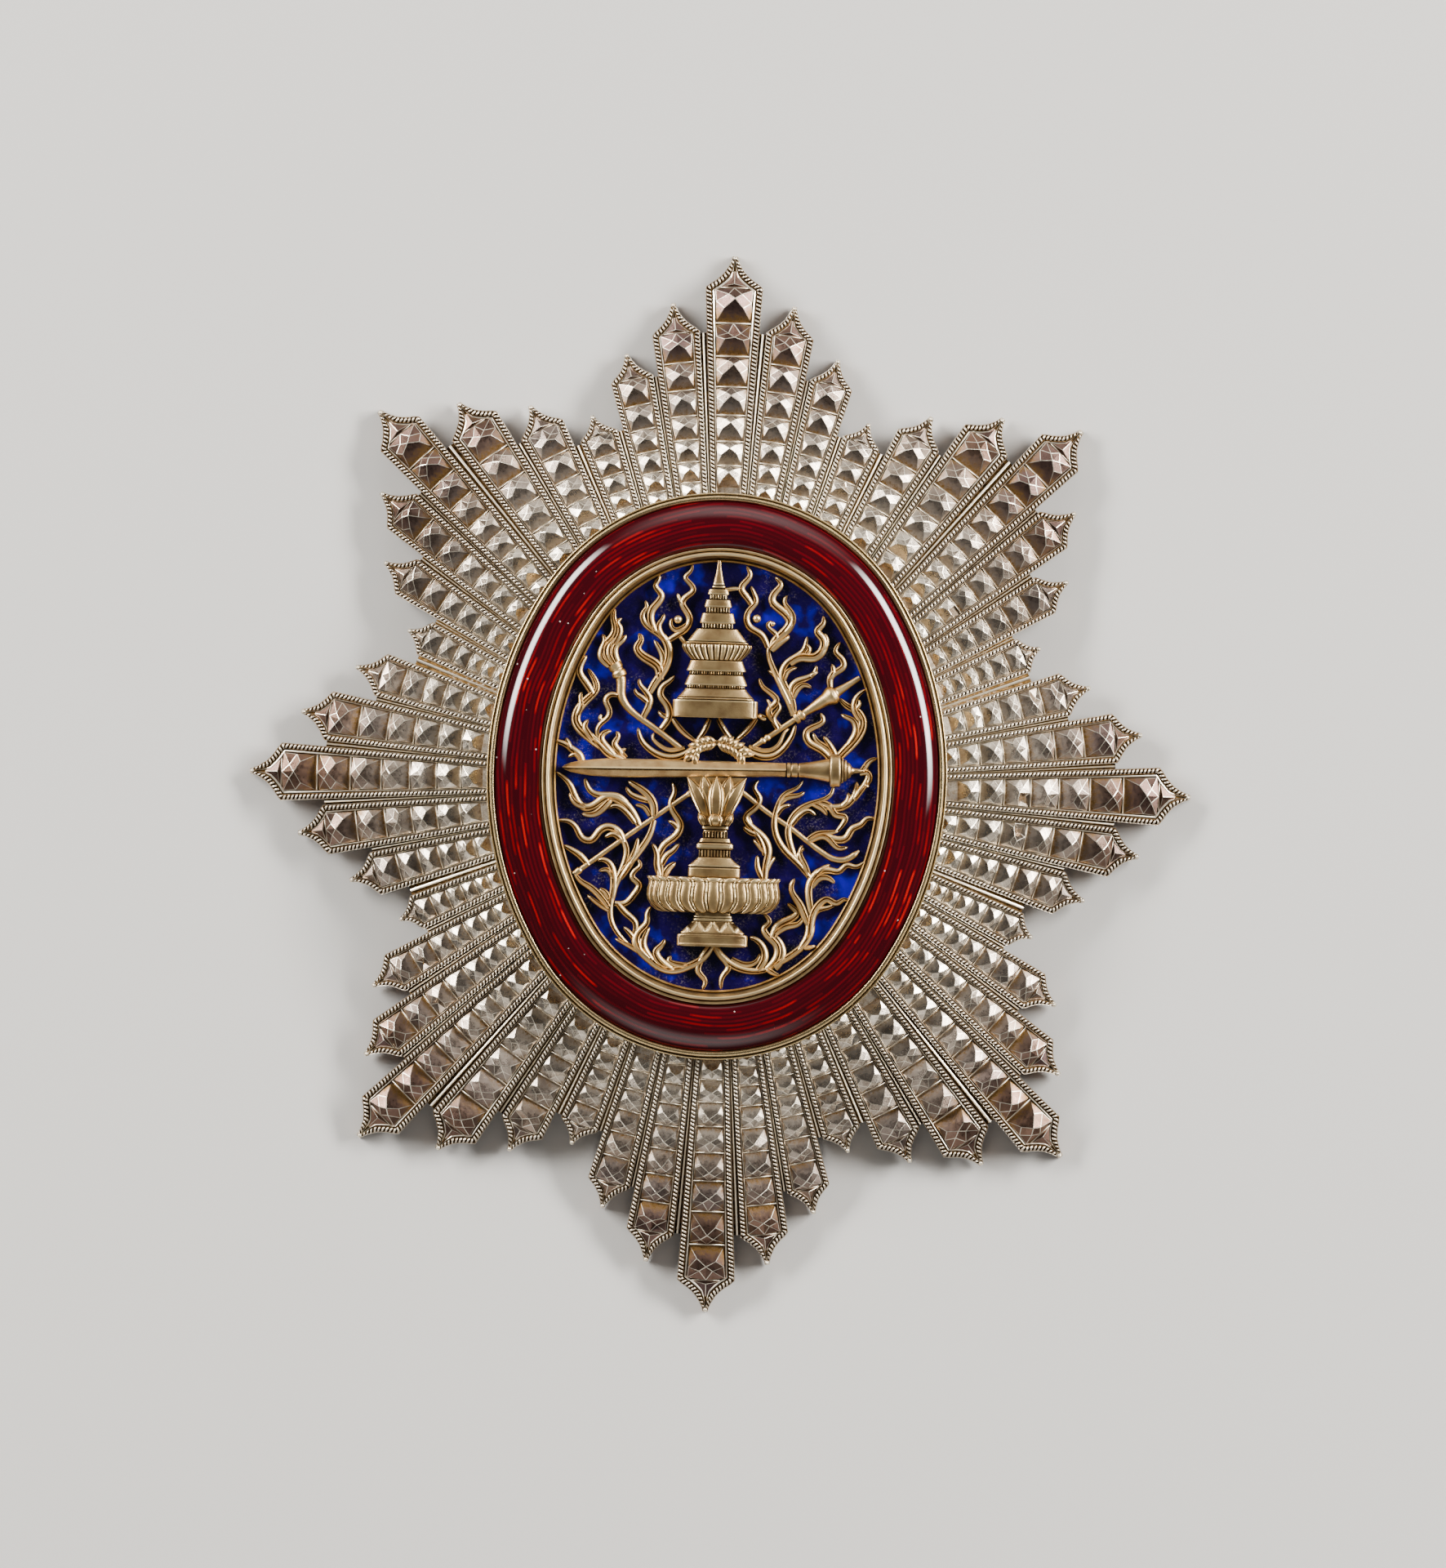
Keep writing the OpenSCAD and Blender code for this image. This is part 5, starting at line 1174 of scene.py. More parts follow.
UPPER_DENTILS = [(7.45, 7.66, 0.2), (8.62, 8.86, 0.2), (12.52, 12.88, 0.25), (13.86, 14.24, 0.24),
                 (15.0, 15.32, 0.22)]

UPPER_EDGES = (6.36, 7.74, 8.93, 11.28, 11.46, 13.0, 14.38, 15.44, 16.04, 16.27)
UPPER_SEAMS = (6.46, 6.66, 7.42, 8.58, 9.8, 11.2, 11.38, 12.48, 13.82, 14.96, 15.86, 16.16)


def carve_upper(x, y, half, t):
    """Rows of teeth under the tiers, a fluted bowl, edges with a painted highlight, seams with painted
    shade and a faint shaded border on the plinth; teeth and flutes get painted shade between them and a
    painted highlight on them."""
    more, recess, rub_and_highlight = dentils(x, y, UPPER_DENTILS)
    bowl = inside(y, 9.84, 11.12, 0.06)
    flute = np.abs(np.cos(np.pi * np.arcsin(np.clip(x / half, -1, 1)) / 0.196))
    more += bowl * 0.26 * (flute ** 0.6 - 0.5) - 0.12 * bands(y, UPPER_SEAMS, 0.035)
    recess += bowl * (1 - 1.3 * flute) + bands(y, UPPER_SEAMS, 0.04)
    rub_and_highlight += bowl * 0.6 * flute ** 3 + 0.8 * bands(y, UPPER_EDGES, 0.05, 0.05)
    border = inside(y, 5.0, 6.36) * inside(x, 3.22, 3.3)
    return more - 0.15 * border, 0 * x, recess + border, rub_and_highlight


def to_star(p):
    """A patch that was drawn about the medallion's centre, moved to its place on the star."""
    p["points"] = p["points"] + np.array([*MEDAL_AT, 0])
    return p


stand = to_star(relief(UPPER, -0.3, 3.69, carve_upper))
piece("carved_tower_stand", [stand], PALE_GOLD, ["upper_stand"], sharp_angle=45)

# %% Lower stand
LOWER_FOOT = [(-14.42, 2.85), (-14.34, 2.99), (-13.5, 2.99), (-13.4, 2.9), (-13.36, 2.7),
              (-13.25, 2.7), (-12.42, 1.84), (-12.33, 1.76), (-12.3, 1.62), (-12.24, 1.66),
              (-12.06, 1.66), (-12.02, 1.56), (-11.98, 1.62), (-11.82, 1.62), (-11.78, 1.54),
              (-11.3, 1.5)]
LOWER_BOWL = [(-11.5, 4.3), (-11.44, 4.62), (-11.3, 4.95), (-11.0, 5.3), (-10.6, 5.56), (-10.2, 5.66),
              (-9.6, 5.62), (-9.2, 5.52), (-8.95, 5.5), (-8.78, 5.6), (-8.64, 5.66)]
LOWER_SHAFT = [(-8.9, 2.2), (-7.78, 2.2), (-7.72, 2.1), (-7.64, 2.2), (-7.56, 2.18), (-7.3, 1.84),
               (-7.0, 1.5), (-6.86, 1.4), (-6.82, 1.34), (-6.26, 1.34), (-6.22, 1.46), (-6.06, 1.56),
               (-5.82, 1.56), (-5.68, 1.46), (-5.62, 1.36), (-5.3, 1.24), (-5.22, 1.04), (-4.7, 1.04),
               (-4.66, 1.0), (-4.54, 1.0), (-4.5, 1.12), (-4.22, 1.12), (-4.16, 1.2), (-3.95, 1.3),
               (-3.5, 1.2), (-3.1, 1.2), (-2.9, 1.34), (-1.6, 1.76), (-0.9, 2.1), (-0.4, 2.4),
               (-0.1, 2.55)]
LOBES = 13
FOOT_SEAMS = (-13.37, -12.31, -12.02, -11.78)
SHAFT_SEAMS = (-8.58, -7.74, -6.86, -6.24, -5.64, -5.22, -4.52, -4.18)
SHAFT_DENTILS = [(-6.82, -6.26, 0.265), (-5.2, -4.7, 0.26)]


def carve_foot(x, y, half, t):
    """Triangles on the sloping band above the base block, with painted shade in the band and its seams and a
    painted highlight on the triangles' lines and two rings.
    """
    zigzag = np.abs(((x / 1.24 + 0.5) % 1) - 0.5) * 2
    band = inside(y, -13.22, -12.38)
    height = (y + 13.22) / 0.86
    raised = np.clip((1 - zigzag - height) * 6 + 0.5, 0, 1)
    line = np.exp(-((1 - zigzag - height) / 0.16) ** 2)
    plinth = inside(y, -14.2, -13.6, 0.08) * inside(np.abs(x), -1, 2.75, 0.05)
    recess = band * (0.9 - 0.8 * line - 0.5 * raised) + bands(y, FOOT_SEAMS, 0.04)
    rub_and_highlight = 0.8 * inside(y, -12.2, -12.1) + 0.8 * inside(y, -11.94, -11.86) + band * line
    return band * (0.16 * line + 0.08 * raised - 0.08) - 0.06 * plinth, 0 * x, recess, rub_and_highlight


def carve_bowl(x, y, half, t):
    """Thirteen lobes like petals, each bounded by a raised line with a painted highlight and a hollow of
    painted shadow on both sides: the lines bulge outwards below, lean in above and roll out at the rim."""
    share = np.clip((y + 11.5) / 2.86, 0, 1)
    lean = np.interp(share, [0, 0.3, 0.55, 0.8, 0.92, 1], [-0.1, 0.06, 0.03, -0.03, 0.05, 0.22])
    at = (LOBES * np.arcsin(np.clip(x / half, -1, 1)) / np.pi * 1.12 + 0.5 - lean * np.tanh(x / 0.7))
    across = np.abs(at - np.floor(at) - 0.5) * 2
    line = np.exp(-((across - 1) / 0.13) ** 2)
    shadow = np.exp(-((across - 0.76) / 0.09) ** 2)
    full = 1 - across ** 2
    near_rim, near_foot = np.clip((share - 0.8) / 0.2, 0, 1), np.clip((0.25 - share) / 0.25, 0, 1)
    lift = 0.14 * (full - 0.5) * near_rim - 0.2 * (full - 0.6) * near_foot
    swell = 0.25 * np.sin(np.pi * share) ** 0.5
    roll = inside(y, -8.95, -8.6, 0.1)
    more = 0.16 * full + 0.15 * line - 0.1 * shadow + swell + 0.1 * roll
    return more, lift, 0.85 * shadow * (1 - 0.5 * roll) + 0.1, line + 0.5 * roll * full


def carve_shaft(x, y, half, t):
    """Two rows of teeth, painted shade in the seams between the mouldings, three rings with a painted
    highlight, and a deep cup with painted shade behind the petals."""
    more, recess, _ = dentils(x, y, SHAFT_DENTILS)
    cup = inside(y, -3.0, 0.2)
    more -= 0.12 * bands(y, SHAFT_SEAMS, 0.035) + 0.45 * cup
    recess += bands(y, SHAFT_SEAMS, 0.04) + 0.5 * cup
    rub_and_highlight = (0.7 * inside(y, -6.08, -5.84, 0.1) + 0.7 * inside(y, -4.44, -4.26, 0.08)
               + 0.8 * inside(y, -7.66, -7.56))
    return more, 0 * x, recess, rub_and_highlight


LEAF_SHARES = [0, 0.2, 0.45, 0.65, 0.8, 0.92, 1]
LEAF_WIDTHS = [0.66, 0.86, 1, 0.86, 0.58, 0.26, 0.05]


def leaf(root, tip, width, curl, low, high, n=22, columns=17):
    """A pointed petal, full at its root and bent to one side by curl * s ** 2 at share s of its
    length, with a raised rim that gets a painted highlight, a hollow line inside it with painted shade and a
    full middle."""
    root, tip = np.asarray(root, float), np.asarray(tip, float)
    s = np.linspace(0, 1, n)
    way = tip - root
    left = np.array([-way[1], way[0]]) / np.linalg.norm(way)
    line = root + way * s[:, None] + left * (curl * s ** 2)[:, None]
    half = width / 2 * np.interp(s, LEAF_SHARES, LEAF_WIDTHS)
    u = np.linspace(-1, 1, columns)
    rim = np.exp(-((np.abs(u) - 0.87) / 0.12) ** 2)
    hollow = 0.8 * np.exp(-((np.abs(u) - 0.66) / 0.09) ** 2)
    crest = low + (high - low) * np.sin(np.pi * np.clip(s * 0.75 + 0.2, 0, 1)) ** 0.7
    xy = line[:, None] + sideways(line)[:, None] * (half[:, None] * u)[..., None]
    z = crest[:, None] - 0.2 * np.abs(u) ** 3 * (crest - low)[:, None] + 0.1 * rim - 0.14 * hollow
    return bar(xy, z, low - 0.3, hollow, rim, FOOT_RECESS)


# Root x and y, tip x and y, width, curl, least and greatest height. One beside the axis has a twin.
PETALS = [(0.85, -3.4, 1.75, 0.1, 1.3, -0.8, 9.4, 10.15), (0.6, -2.6, 1.05, 0.1, 1.35, -0.1, 9.4, 10.1),
          (0, -3.5, 0, 0, 1.45, 0, 9.6, 10.5), (0.95, -4.15, 1.3, -3.05, 0.7, -0.2, 9.8, 10.5),
          (0, -4.2, 0, -3.05, 1.3, 0, 9.9, 10.75)]
petals = []
for root_x, root_y, tip_x, tip_y, width, curl, low, high in PETALS:
    for k in (-1, 1) if root_x else (1,):
        petals.append(leaf((k * root_x, root_y), (k * tip_x, tip_y), width, k * curl, low, high))
stands = [relief(LOWER_FOOT, 0, 5.65, carve_foot),
          relief(LOWER_BOWL, 0, 5.67, carve_bowl, columns=241, depth=1.22, power=0.4),
          relief(LOWER_SHAFT, 0, 5.65, carve_shaft)]
piece("carved_bowl_stand", [to_star(p) for p in stands + petals], PALE_GOLD,
      ["lower_stand"], sharp_angle=45)

# %% [markdown]
# ## Sword
# The blade has a ridge along its middle; ferrule, grip, guard and finial are turned. It could be
# lathed like the real handle, but the same relief grid gives both the flat blade and the round handle
# in one skin. It is laid along the level line and turned a little.

# %% Sword
# Places along the sword, point first, with the half widths there
SWORD = [(-13.1, 0.03), (-12.9, 0.2), (-12.4, 0.4), (-11.6, 0.57), (-10.6, 0.7), (-9.4, 0.78), (-8, 0.8),
         (0, 0.68), (5.84, 0.58), (5.88, 0.5), (5.94, 0.63), (6.2, 0.63), (6.24, 0.56), (6.3, 0.56),
         (6.34, 0.61), (6.82, 0.61), (6.86, 0.52), (6.92, 0.6), (8.0, 0.72), (9.3, 0.96), (9.52, 0.98),
         (9.56, 1.25), (9.66, 1.4), (10.36, 1.4), (10.46, 1.25), (10.5, 0.95), (10.56, 1.08),
         (10.7, 1.04), (10.76, 0.84), (10.82, 0.94), (10.98, 0.86), (11.04, 0.66), (11.1, 0.72), (11.3, 0.58),
         (11.4, 0.36), (11.6, 0.24), (12.0, 0.2), (12.3, 0.12), (12.5, 0.05)]
SWORD_AT, SWORD_TURN = np.array([-13.1, 0.4]), math.radians(0.9)
SWORD_SEAMS = (5.88, 6.27, 6.87, 9.55, 10.5, 10.77, 11.05)
SWORD_DEPTH, SWORD_HALF, SWORD_POWER = 1.1, 1.4, 0.7


def carve_sword(x, y, half, t):
    """A roof-shaped blade up to the ferrule, with a painted highlight on the ridge and the edges, painted
    shade on the lower facet and a dark painted line beside the ridge, then round, with painted shade in the
    grooves between the rings and a painted highlight on two rings."""
    blade = inside(y, -14, 5.86)
    ridge = 1 - np.abs(x) / half
    round_top = SWORD_DEPTH * (half / SWORD_HALF) ** RELIEF_POWER * np.cos(t).clip(0, 1) ** SWORD_POWER
    facets = 0.45 + 0.5 * ridge - round_top
    # Painted shade on the lower facet with a dark painted line beside the ridge; a painted highlight on the
    # ridge and the edges
    shaded_facet = 0.3 * inside(x, 0.05, 0.9, 0.05) + 0.9 * inside(x, 0.06, 0.16)
    paler_zone = np.exp(-(x / 0.07) ** 2) + 0.8 * np.abs(np.sin(t)) ** 12
    rings = 0.4 * (inside(y, 9.64, 9.76) + inside(y, 10.3, 10.4))
    return (blade * facets, 0 * x, 0.8 * bands(y, SWORD_SEAMS, 0.05) + blade * shaded_facet,
            blade * paler_zone + rings)


sword = relief(SWORD, 0, SWORD_HALF, carve_sword, step=0.09, columns=33, depth=SWORD_DEPTH,
               power=SWORD_POWER)
x, y, z = sword["points"].T
along = y - SWORD_AT[0]
sword["points"] = np.column_stack([
    SWORD_AT[0] + along * math.cos(SWORD_TURN) + x * math.sin(SWORD_TURN),
    SWORD_AT[1] + along * math.sin(SWORD_TURN) - x * math.cos(SWORD_TURN), z])
piece("laid_sword", [to_star(sword)], PALE_GOLD, ["sword"], sharp_angle=45)

# %% [markdown]
# ## Flames, staffs and ribbons
# The pierced work is a crowd of S-shaped tongues that grow out of each other, each with one to three
# raised strands, swelling in the middle and rounded at the point. Bevelled curves could make them, but
# have no strands, so every tongue is a bar along a smooth line. The lines were read off
# enlarged quarters of the photograph.

# %% Flame table
# Pixel of the photograph at the upper left corner of each quarter, and the pixels in one grid step
QUARTERS = {"upper left": (660, 680), "upper right": (860, 680), "lower left": (660, 940),
            "lower right": (860, 940)}
GRID_STEP = 10 / 5.6
# Width in parts of a millimetre, FLAME_PARTS or RIBBON_PARTS of them to one, then points x, y from
# root to tip in grid steps, y downwards
FLAME_PARTS, RIBBON_PARTS = 7.7, 10
FLAMES = {
    "upper left": [
        [5, 30, 143, 28, 137, 23, 133, 19, 130, 11, 127], [3.5, 22, 133, 20.5, 129, 18.5, 125],
        [3.5, 29, 141, 25, 136.5, 20, 138.5], [6.5, 58, 140, 44, 131, 33, 123, 25.5, 114, 27, 106,
        34, 98, 39.5, 91, 37, 83, 33.5, 77.5], [5, 37, 95, 32, 87, 28, 80, 29.5, 74, 33, 68.5], [4,
        26, 110, 29, 102, 28.5, 97, 29.5, 93.5], [4.5, 37, 127, 33, 121, 31.5, 117, 34, 112.5], [4,
        54, 96, 49.5, 95.5, 46, 99, 48, 105, 48, 110, 43, 115, 40, 120, 42, 128], [3, 44, 114, 42,
        111.5, 43.5, 109], [5, 54, 140, 46, 131, 43, 124.5, 46.5, 121, 50, 120.5], [4.5, 59, 139,
        55, 134, 52, 129, 54.5, 124, 53, 120.5], [3.5, 60, 139, 57, 134.5, 60, 132.5], [5, 58, 140,
        48, 136, 41, 129, 36, 124], [6.5, 51.5, 77, 45.5, 70, 45, 63, 50, 57, 52.5, 50, 51, 43, 52,
        36.5], [5, 55, 75, 52, 68, 53, 62, 57, 58.5, 60, 54.5], [4.5, 48, 76, 42.5, 69, 44, 62, 45,
        58, 43.5, 54], [4, 52, 61, 55.5, 54, 55.5, 49, 54, 46, 57, 43], [4, 53, 76, 48, 68, 49, 61,
        53, 56], [4.5, 71, 112, 75, 104, 76, 98, 72, 92, 69, 87.5, 69, 84.5], [3.5, 75, 101, 70, 97,
        66.5, 94, 66, 91], [6.5, 83, 85, 82, 77, 76, 72, 70, 68, 67.5, 63, 70, 58, 68.5, 53.5],
        [5.5, 76, 94, 80, 87, 85, 80, 88.5, 72, 89, 64, 85, 56, 78, 51, 72.5, 46, 71.5, 40, 74, 36,
        73, 31], [4, 87, 58, 83, 52.5, 82.5, 47.5, 85, 43.5, 86, 40], [4, 84, 78, 85, 70, 82, 63,
        79, 58], [5, 80, 52, 77, 45, 77.5, 38, 82, 32, 84, 27, 80, 21, 82, 17, 83, 13.5], [4.5, 88,
        59, 95, 54.5, 101, 50, 103.5, 44, 101, 38, 98.5, 33, 101, 28.5, 106, 24, 103, 18.5, 100.5,
        15, 104, 11, 105.5, 6], [3, 99, 34, 96.5, 30, 95, 26], [3.5, 102, 47, 98, 50, 93, 51, 90.5,
        47, 91.5, 43], [3, 97, 56, 100, 60, 103, 64], [5, 84, 119, 89.5, 110, 87.5, 102, 83.5, 96,
        85, 90, 90, 86, 93, 82.5], [3.5, 89, 111, 84.5, 109.5, 82, 106.5]],
    "upper right": [
        [3, 15, 24, 22, 23, 28, 23], [4.5, 45, 63, 40, 54, 33, 49.5, 30.5, 43, 33, 37, 37, 32, 36,
        27, 33.5, 21], [4.5, 34, 34, 30, 28, 27, 23, 30, 18, 33, 13.5, 30.5, 7.5], [6, 47, 65, 50,
        59, 57, 52, 60.5, 46, 58, 41, 52, 36, 48, 31, 50.5, 25, 54, 20, 50, 15], [4, 57, 53, 62, 46,
        61.5, 40, 58, 35, 56.5, 31, 58.5, 27.5], [3.5, 49, 61, 51, 55, 47, 51, 45, 47.5, 48, 45],
        [6, 47, 65, 52, 60, 56, 57.5, 60, 55], [4.5, 62.5, 110, 60, 102, 56.5, 94, 52, 85, 48, 76,
        45.5, 68, 46, 60], [4, 60, 102, 55, 92, 49.5, 82, 45, 79], [4.5, 63, 110, 62, 101, 58, 92,
        54.5, 83, 57, 75, 63, 70, 69, 65.5, 71, 60.5, 72, 55.5], [6, 60, 74, 68, 70, 77, 70, 83, 64,
        82.5, 57, 79, 52, 83, 47, 83, 41.5], [3.5, 80, 68, 85, 62, 85.5, 57, 83.5, 53.5], [3.5, 71,
        68, 73.5, 64.5, 71, 61], [3.5, 56, 86, 59, 79.5, 65, 77], [4.5, 62, 99, 61, 91.5, 65, 86.5,
        72, 84, 77, 80.5, 78.5, 75.5], [3, 74, 83, 78, 80.5, 79.5, 80], [4, 62, 99, 65, 92.5, 70,
        89, 75, 91], [4.5, 54, 119, 48, 112, 46, 106, 51, 100, 47, 94.5, 41.5, 90, 39, 84], [3, 46,
        107, 46.5, 102.5, 44, 98.5], [4, 52, 119, 49, 111, 53, 104.5, 50.5, 99.5], [4, 44, 112, 41,
        111, 38, 109], [4.5, 88, 91, 88, 84, 92, 80, 97, 76, 95.5, 70.5, 91.5, 66, 95, 59.5], [4,
        87, 86, 90, 80, 89, 74.5], [6.5, 93, 139, 101, 131, 108, 122, 110, 114, 106, 107, 99, 103,
        94, 98], [4, 108, 113, 104.5, 107, 104, 102, 106, 97, 112, 92], [4.5, 100, 130, 105.5, 120,
        103, 113, 99, 111, 95, 109], [3, 104.5, 106, 108, 102, 107, 98.5], [5, 89, 141, 81, 133, 73,
        128, 71.5, 121.5, 77, 117.5, 83, 113.5, 81, 108], [4, 91, 139, 85, 132, 78.5, 127, 76,
        121.5], [4, 92, 138, 87.5, 130, 83, 124], [4, 108, 149, 111, 146, 114, 142, 120, 139], [4,
        108, 150, 113, 149, 115, 153, 111, 159]],
    "lower left": [
        [5.5, 69, 40, 63, 29, 54, 21.5, 46, 20.5, 39, 25, 31, 27, 25, 20, 21, 11, 12, 3], [5, 62,
        27, 54, 20, 44, 19, 36, 16.5, 33, 12, 31.5, 7], [5, 49, 22, 43, 28.5, 37, 32, 29.5, 31.5],
        [4, 66, 38, 59, 29.5, 52, 26, 47, 28.5], [4, 32, 27, 25, 24, 21, 17], [5.5, 79, 33, 78.5,
        25, 73, 17, 66, 12, 61, 9], [4, 76, 23, 68, 20.5, 62, 17, 60, 13], [3.5, 76, 33, 72, 27, 66,
        25.5], [5, 82, 61, 86, 53, 94, 46.5, 97, 39, 93, 31.5, 90.5, 24, 93, 17, 91.5, 10], [3.5,
        96, 43, 92.5, 38.5, 88.5, 36.5], [5, 83, 77, 83, 69, 82, 60], [4.5, 83, 74, 81, 66, 81,
        59.5, 78, 52], [4.5, 84, 67, 88, 60, 92, 57, 96, 52], [5, 86, 74, 89, 69, 94, 65], [5, 58,
        51, 55, 44, 47, 40.5, 41, 44, 36, 49.5, 30, 48.5, 26, 42, 21, 37, 13, 36], [3.5, 56, 46, 53,
        42, 51, 38.5], [4, 58, 51, 51, 45.5, 45, 48], [4.5, 79, 36, 76, 46, 69, 57, 61, 67, 54, 77,
        50.5, 87, 49, 96, 49.5, 104, 53, 112, 60, 120, 68, 127], [4, 57, 48, 60, 56, 58, 66, 53,
        76], [5, 50, 90, 51.5, 80, 51, 72, 48, 65, 42, 63, 40, 64.5], [3.5, 51, 76, 47, 70, 41, 71],
        [4, 60, 68, 66, 57, 68, 48], [4, 56, 76, 64, 64, 70, 54], [4.5, 48, 96, 41, 87, 34, 81, 28,
        77, 24, 71], [4, 48, 90, 45, 85, 41, 83], [3.5, 48, 98, 40, 92.5, 33, 87], [4.5, 34, 67, 28,
        60, 22, 56, 17, 53], [4.5, 52, 93, 59, 93, 66, 86, 68.5, 80, 64, 75, 66.5, 70, 69.5, 67, 67,
        62], [4.5, 54, 93, 60, 100, 66, 106, 66, 112, 63, 118], [3.5, 66, 118, 62, 113, 58, 109],
        [5.5, 82, 137, 72, 128, 66.5, 120, 68.5, 112.5, 74, 106, 74.5, 100, 77, 95], [4.5, 78, 132,
        72, 122, 73, 115, 76, 109], [4, 76, 131, 69, 123, 70, 116], [5, 119, 122, 112, 131, 103,
        136, 93, 139, 83, 137, 74, 130, 62, 122, 52, 117], [5.5, 92, 139, 83, 132, 80.5, 126, 84.5,
        121.5, 86.5, 117.5], [4.5, 104, 136, 95, 135, 89, 132, 91, 129], [4.5, 117, 122, 111, 132,
        109.5, 140, 114, 146, 112, 152]],
    "lower right": [
        [5, 43, 76, 44, 66, 45.5, 56, 41, 47, 33, 40, 30, 34, 36, 28, 39.5, 21, 36, 14, 39, 8.5],
        [4, 38, 46, 32.5, 44, 28, 40.5], [4, 43, 58, 39, 53, 35, 49], [4, 41.5, 76, 38, 68, 38, 60],
        [4.5, 43, 72, 46, 65.5, 50, 61], [4, 43, 60, 40, 50, 34, 40, 32, 33], [4.5, 75, 77, 66, 66,
        57, 57, 51, 47, 49.5, 37, 52, 26, 57, 18, 65, 14, 69.5, 8.5], [4, 52, 26, 58, 20.5, 66, 19,
        70.5, 16.5], [3.5, 51, 33, 55, 27.5, 61, 25.5], [4.5, 64, 63, 60.5, 53, 59, 44, 61.5, 35,
        68, 28, 77, 24, 85, 21, 89, 17, 90, 12], [4, 60, 41, 66, 33.5, 73, 29.5, 78, 33], [4, 76,
        25, 82, 28, 86, 33], [4.5, 80, 24, 88, 27, 92, 32.5, 98, 34, 95.5, 40, 91, 45], [5, 84,
        26.5, 93, 27.5, 101, 24, 105, 17, 106, 9.5], [4, 95, 27, 100, 22, 100, 17], [4.5, 104, 22,
        109, 15, 113, 8, 113, 0], [3, 108, 16, 111, 12.5, 115, 13], [5, 84, 46, 93, 49.5, 99, 48,
        103, 42, 109, 39, 113, 35, 119, 35.5], [4.5, 74, 50, 83, 47, 88, 50, 93, 55, 100, 54.5], [4,
        72, 50, 79, 45.5, 87, 44.5, 94, 43.5], [5, 75, 100, 73, 88, 74, 79, 80, 71.5, 88, 70.5, 94,
        71, 99, 67, 105, 68, 112, 64], [3.5, 78, 73, 83, 69, 88, 66.5], [4.5, 75, 82, 81, 75.5, 87,
        76, 91, 79.5], [4, 73, 74, 70, 66, 67, 58, 69, 53], [3.5, 67, 66, 66, 60, 70, 55], [5, 74,
        114, 76, 101, 80, 94, 86, 90.5, 92, 93, 97, 90.5, 101, 91.5], [4, 75, 106, 79, 98, 86, 96,
        92, 93], [4.5, 49, 136, 62, 128, 71, 120, 75.5, 111, 75, 100], [4, 66, 125, 72, 115, 72,
        105, 69, 98], [5, 73, 108, 70, 101, 67, 94, 63, 88, 61, 82, 63.5, 76], [5.5, 48, 117, 52,
        108.5, 60, 104, 65, 99.5, 62, 96, 58.5, 93], [4.5, 50, 114, 58, 109, 66, 107, 70, 101], [5,
        44, 138, 51, 130, 51, 122, 45, 115.5, 42.5, 110, 46, 106, 42, 100], [5, 50, 138, 55, 129,
        54, 121, 50, 115], [5, 8, 122, 15, 131, 24, 137, 35, 139.5, 45, 138, 53, 133], [5, 38, 139,
        43, 130, 41, 122, 37, 118, 32, 116], [4, 20, 131, 29, 135, 37, 133, 40, 127], [3.5, 44, 138,
        49, 141, 53, 143], [3, 70, 124, 75, 123, 78, 122], [4.5, 9, 122, 14, 130, 18, 137, 14, 143,
        13, 152]]}
# Ribbons from the plinth to the knot, and the long loops beside it
RIBBONS = {
    "upper left": [
        [5, 92, 112, 98, 120, 108, 128], [5, 117, 112, 113, 121, 107, 129], [5, 123, 112, 128, 121,
        135, 130], [6, 108, 131, 97, 137.5, 86, 138, 76, 133, 70, 126, 68, 118], [4, 100, 132, 89,
        133.5, 81, 129, 78, 125, 79, 121.5]],
    "upper right": [
        [5, 37, 112, 31, 120, 22, 128], [6, 28, 132, 40, 138, 50, 137, 57, 131, 62, 123, 64, 116],
        [4, 32, 131, 45, 134, 53, 129, 57, 121, 60, 119]]}


def spline(points, spacing=0.14):
    """Points at even steps along a natural cubic spline through the given points."""
    p = np.asarray(points, float)
    gap = np.linalg.norm(np.diff(p, axis=0), axis=1)[:, None] ** 0.7
    knots = np.concatenate([[0], np.cumsum(gap)])
    matrix, right = np.eye(len(p)), np.zeros_like(p)
    for k in range(1, len(p) - 1):
        matrix[k, k - 1:k + 2] = gap[k - 1, 0], 2 * (gap[k - 1, 0] + gap[k, 0]), gap[k, 0]
        right[k] = 6 * ((p[k + 1] - p[k]) / gap[k] - (p[k] - p[k - 1]) / gap[k - 1])
    bend = np.linalg.solve(matrix, right)
    t = np.linspace(0, knots[-1], 400)
    k = np.clip(np.searchsorted(knots, t, "right") - 1, 0, len(p) - 2)
    after_knot, to_knot, h = (t - knots[k])[:, None], (knots[k + 1] - t)[:, None], gap[k]
    fine = ((bend[k] * to_knot ** 3 + bend[k + 1] * after_knot ** 3) / (6 * h)
            + (p[k] / h - bend[k] * h / 6) * to_knot + (p[k + 1] / h - bend[k + 1] * h / 6) * after_knot)
    way = np.concatenate([[0], np.cumsum(np.linalg.norm(np.diff(fine, axis=0), axis=1))])
    stops = np.linspace(0, way[-1], max(10, int(way[-1] / spacing)))
    return np.column_stack([np.interp(stops, way, fine[:, 0]), np.interp(stops, way, fine[:, 1])])


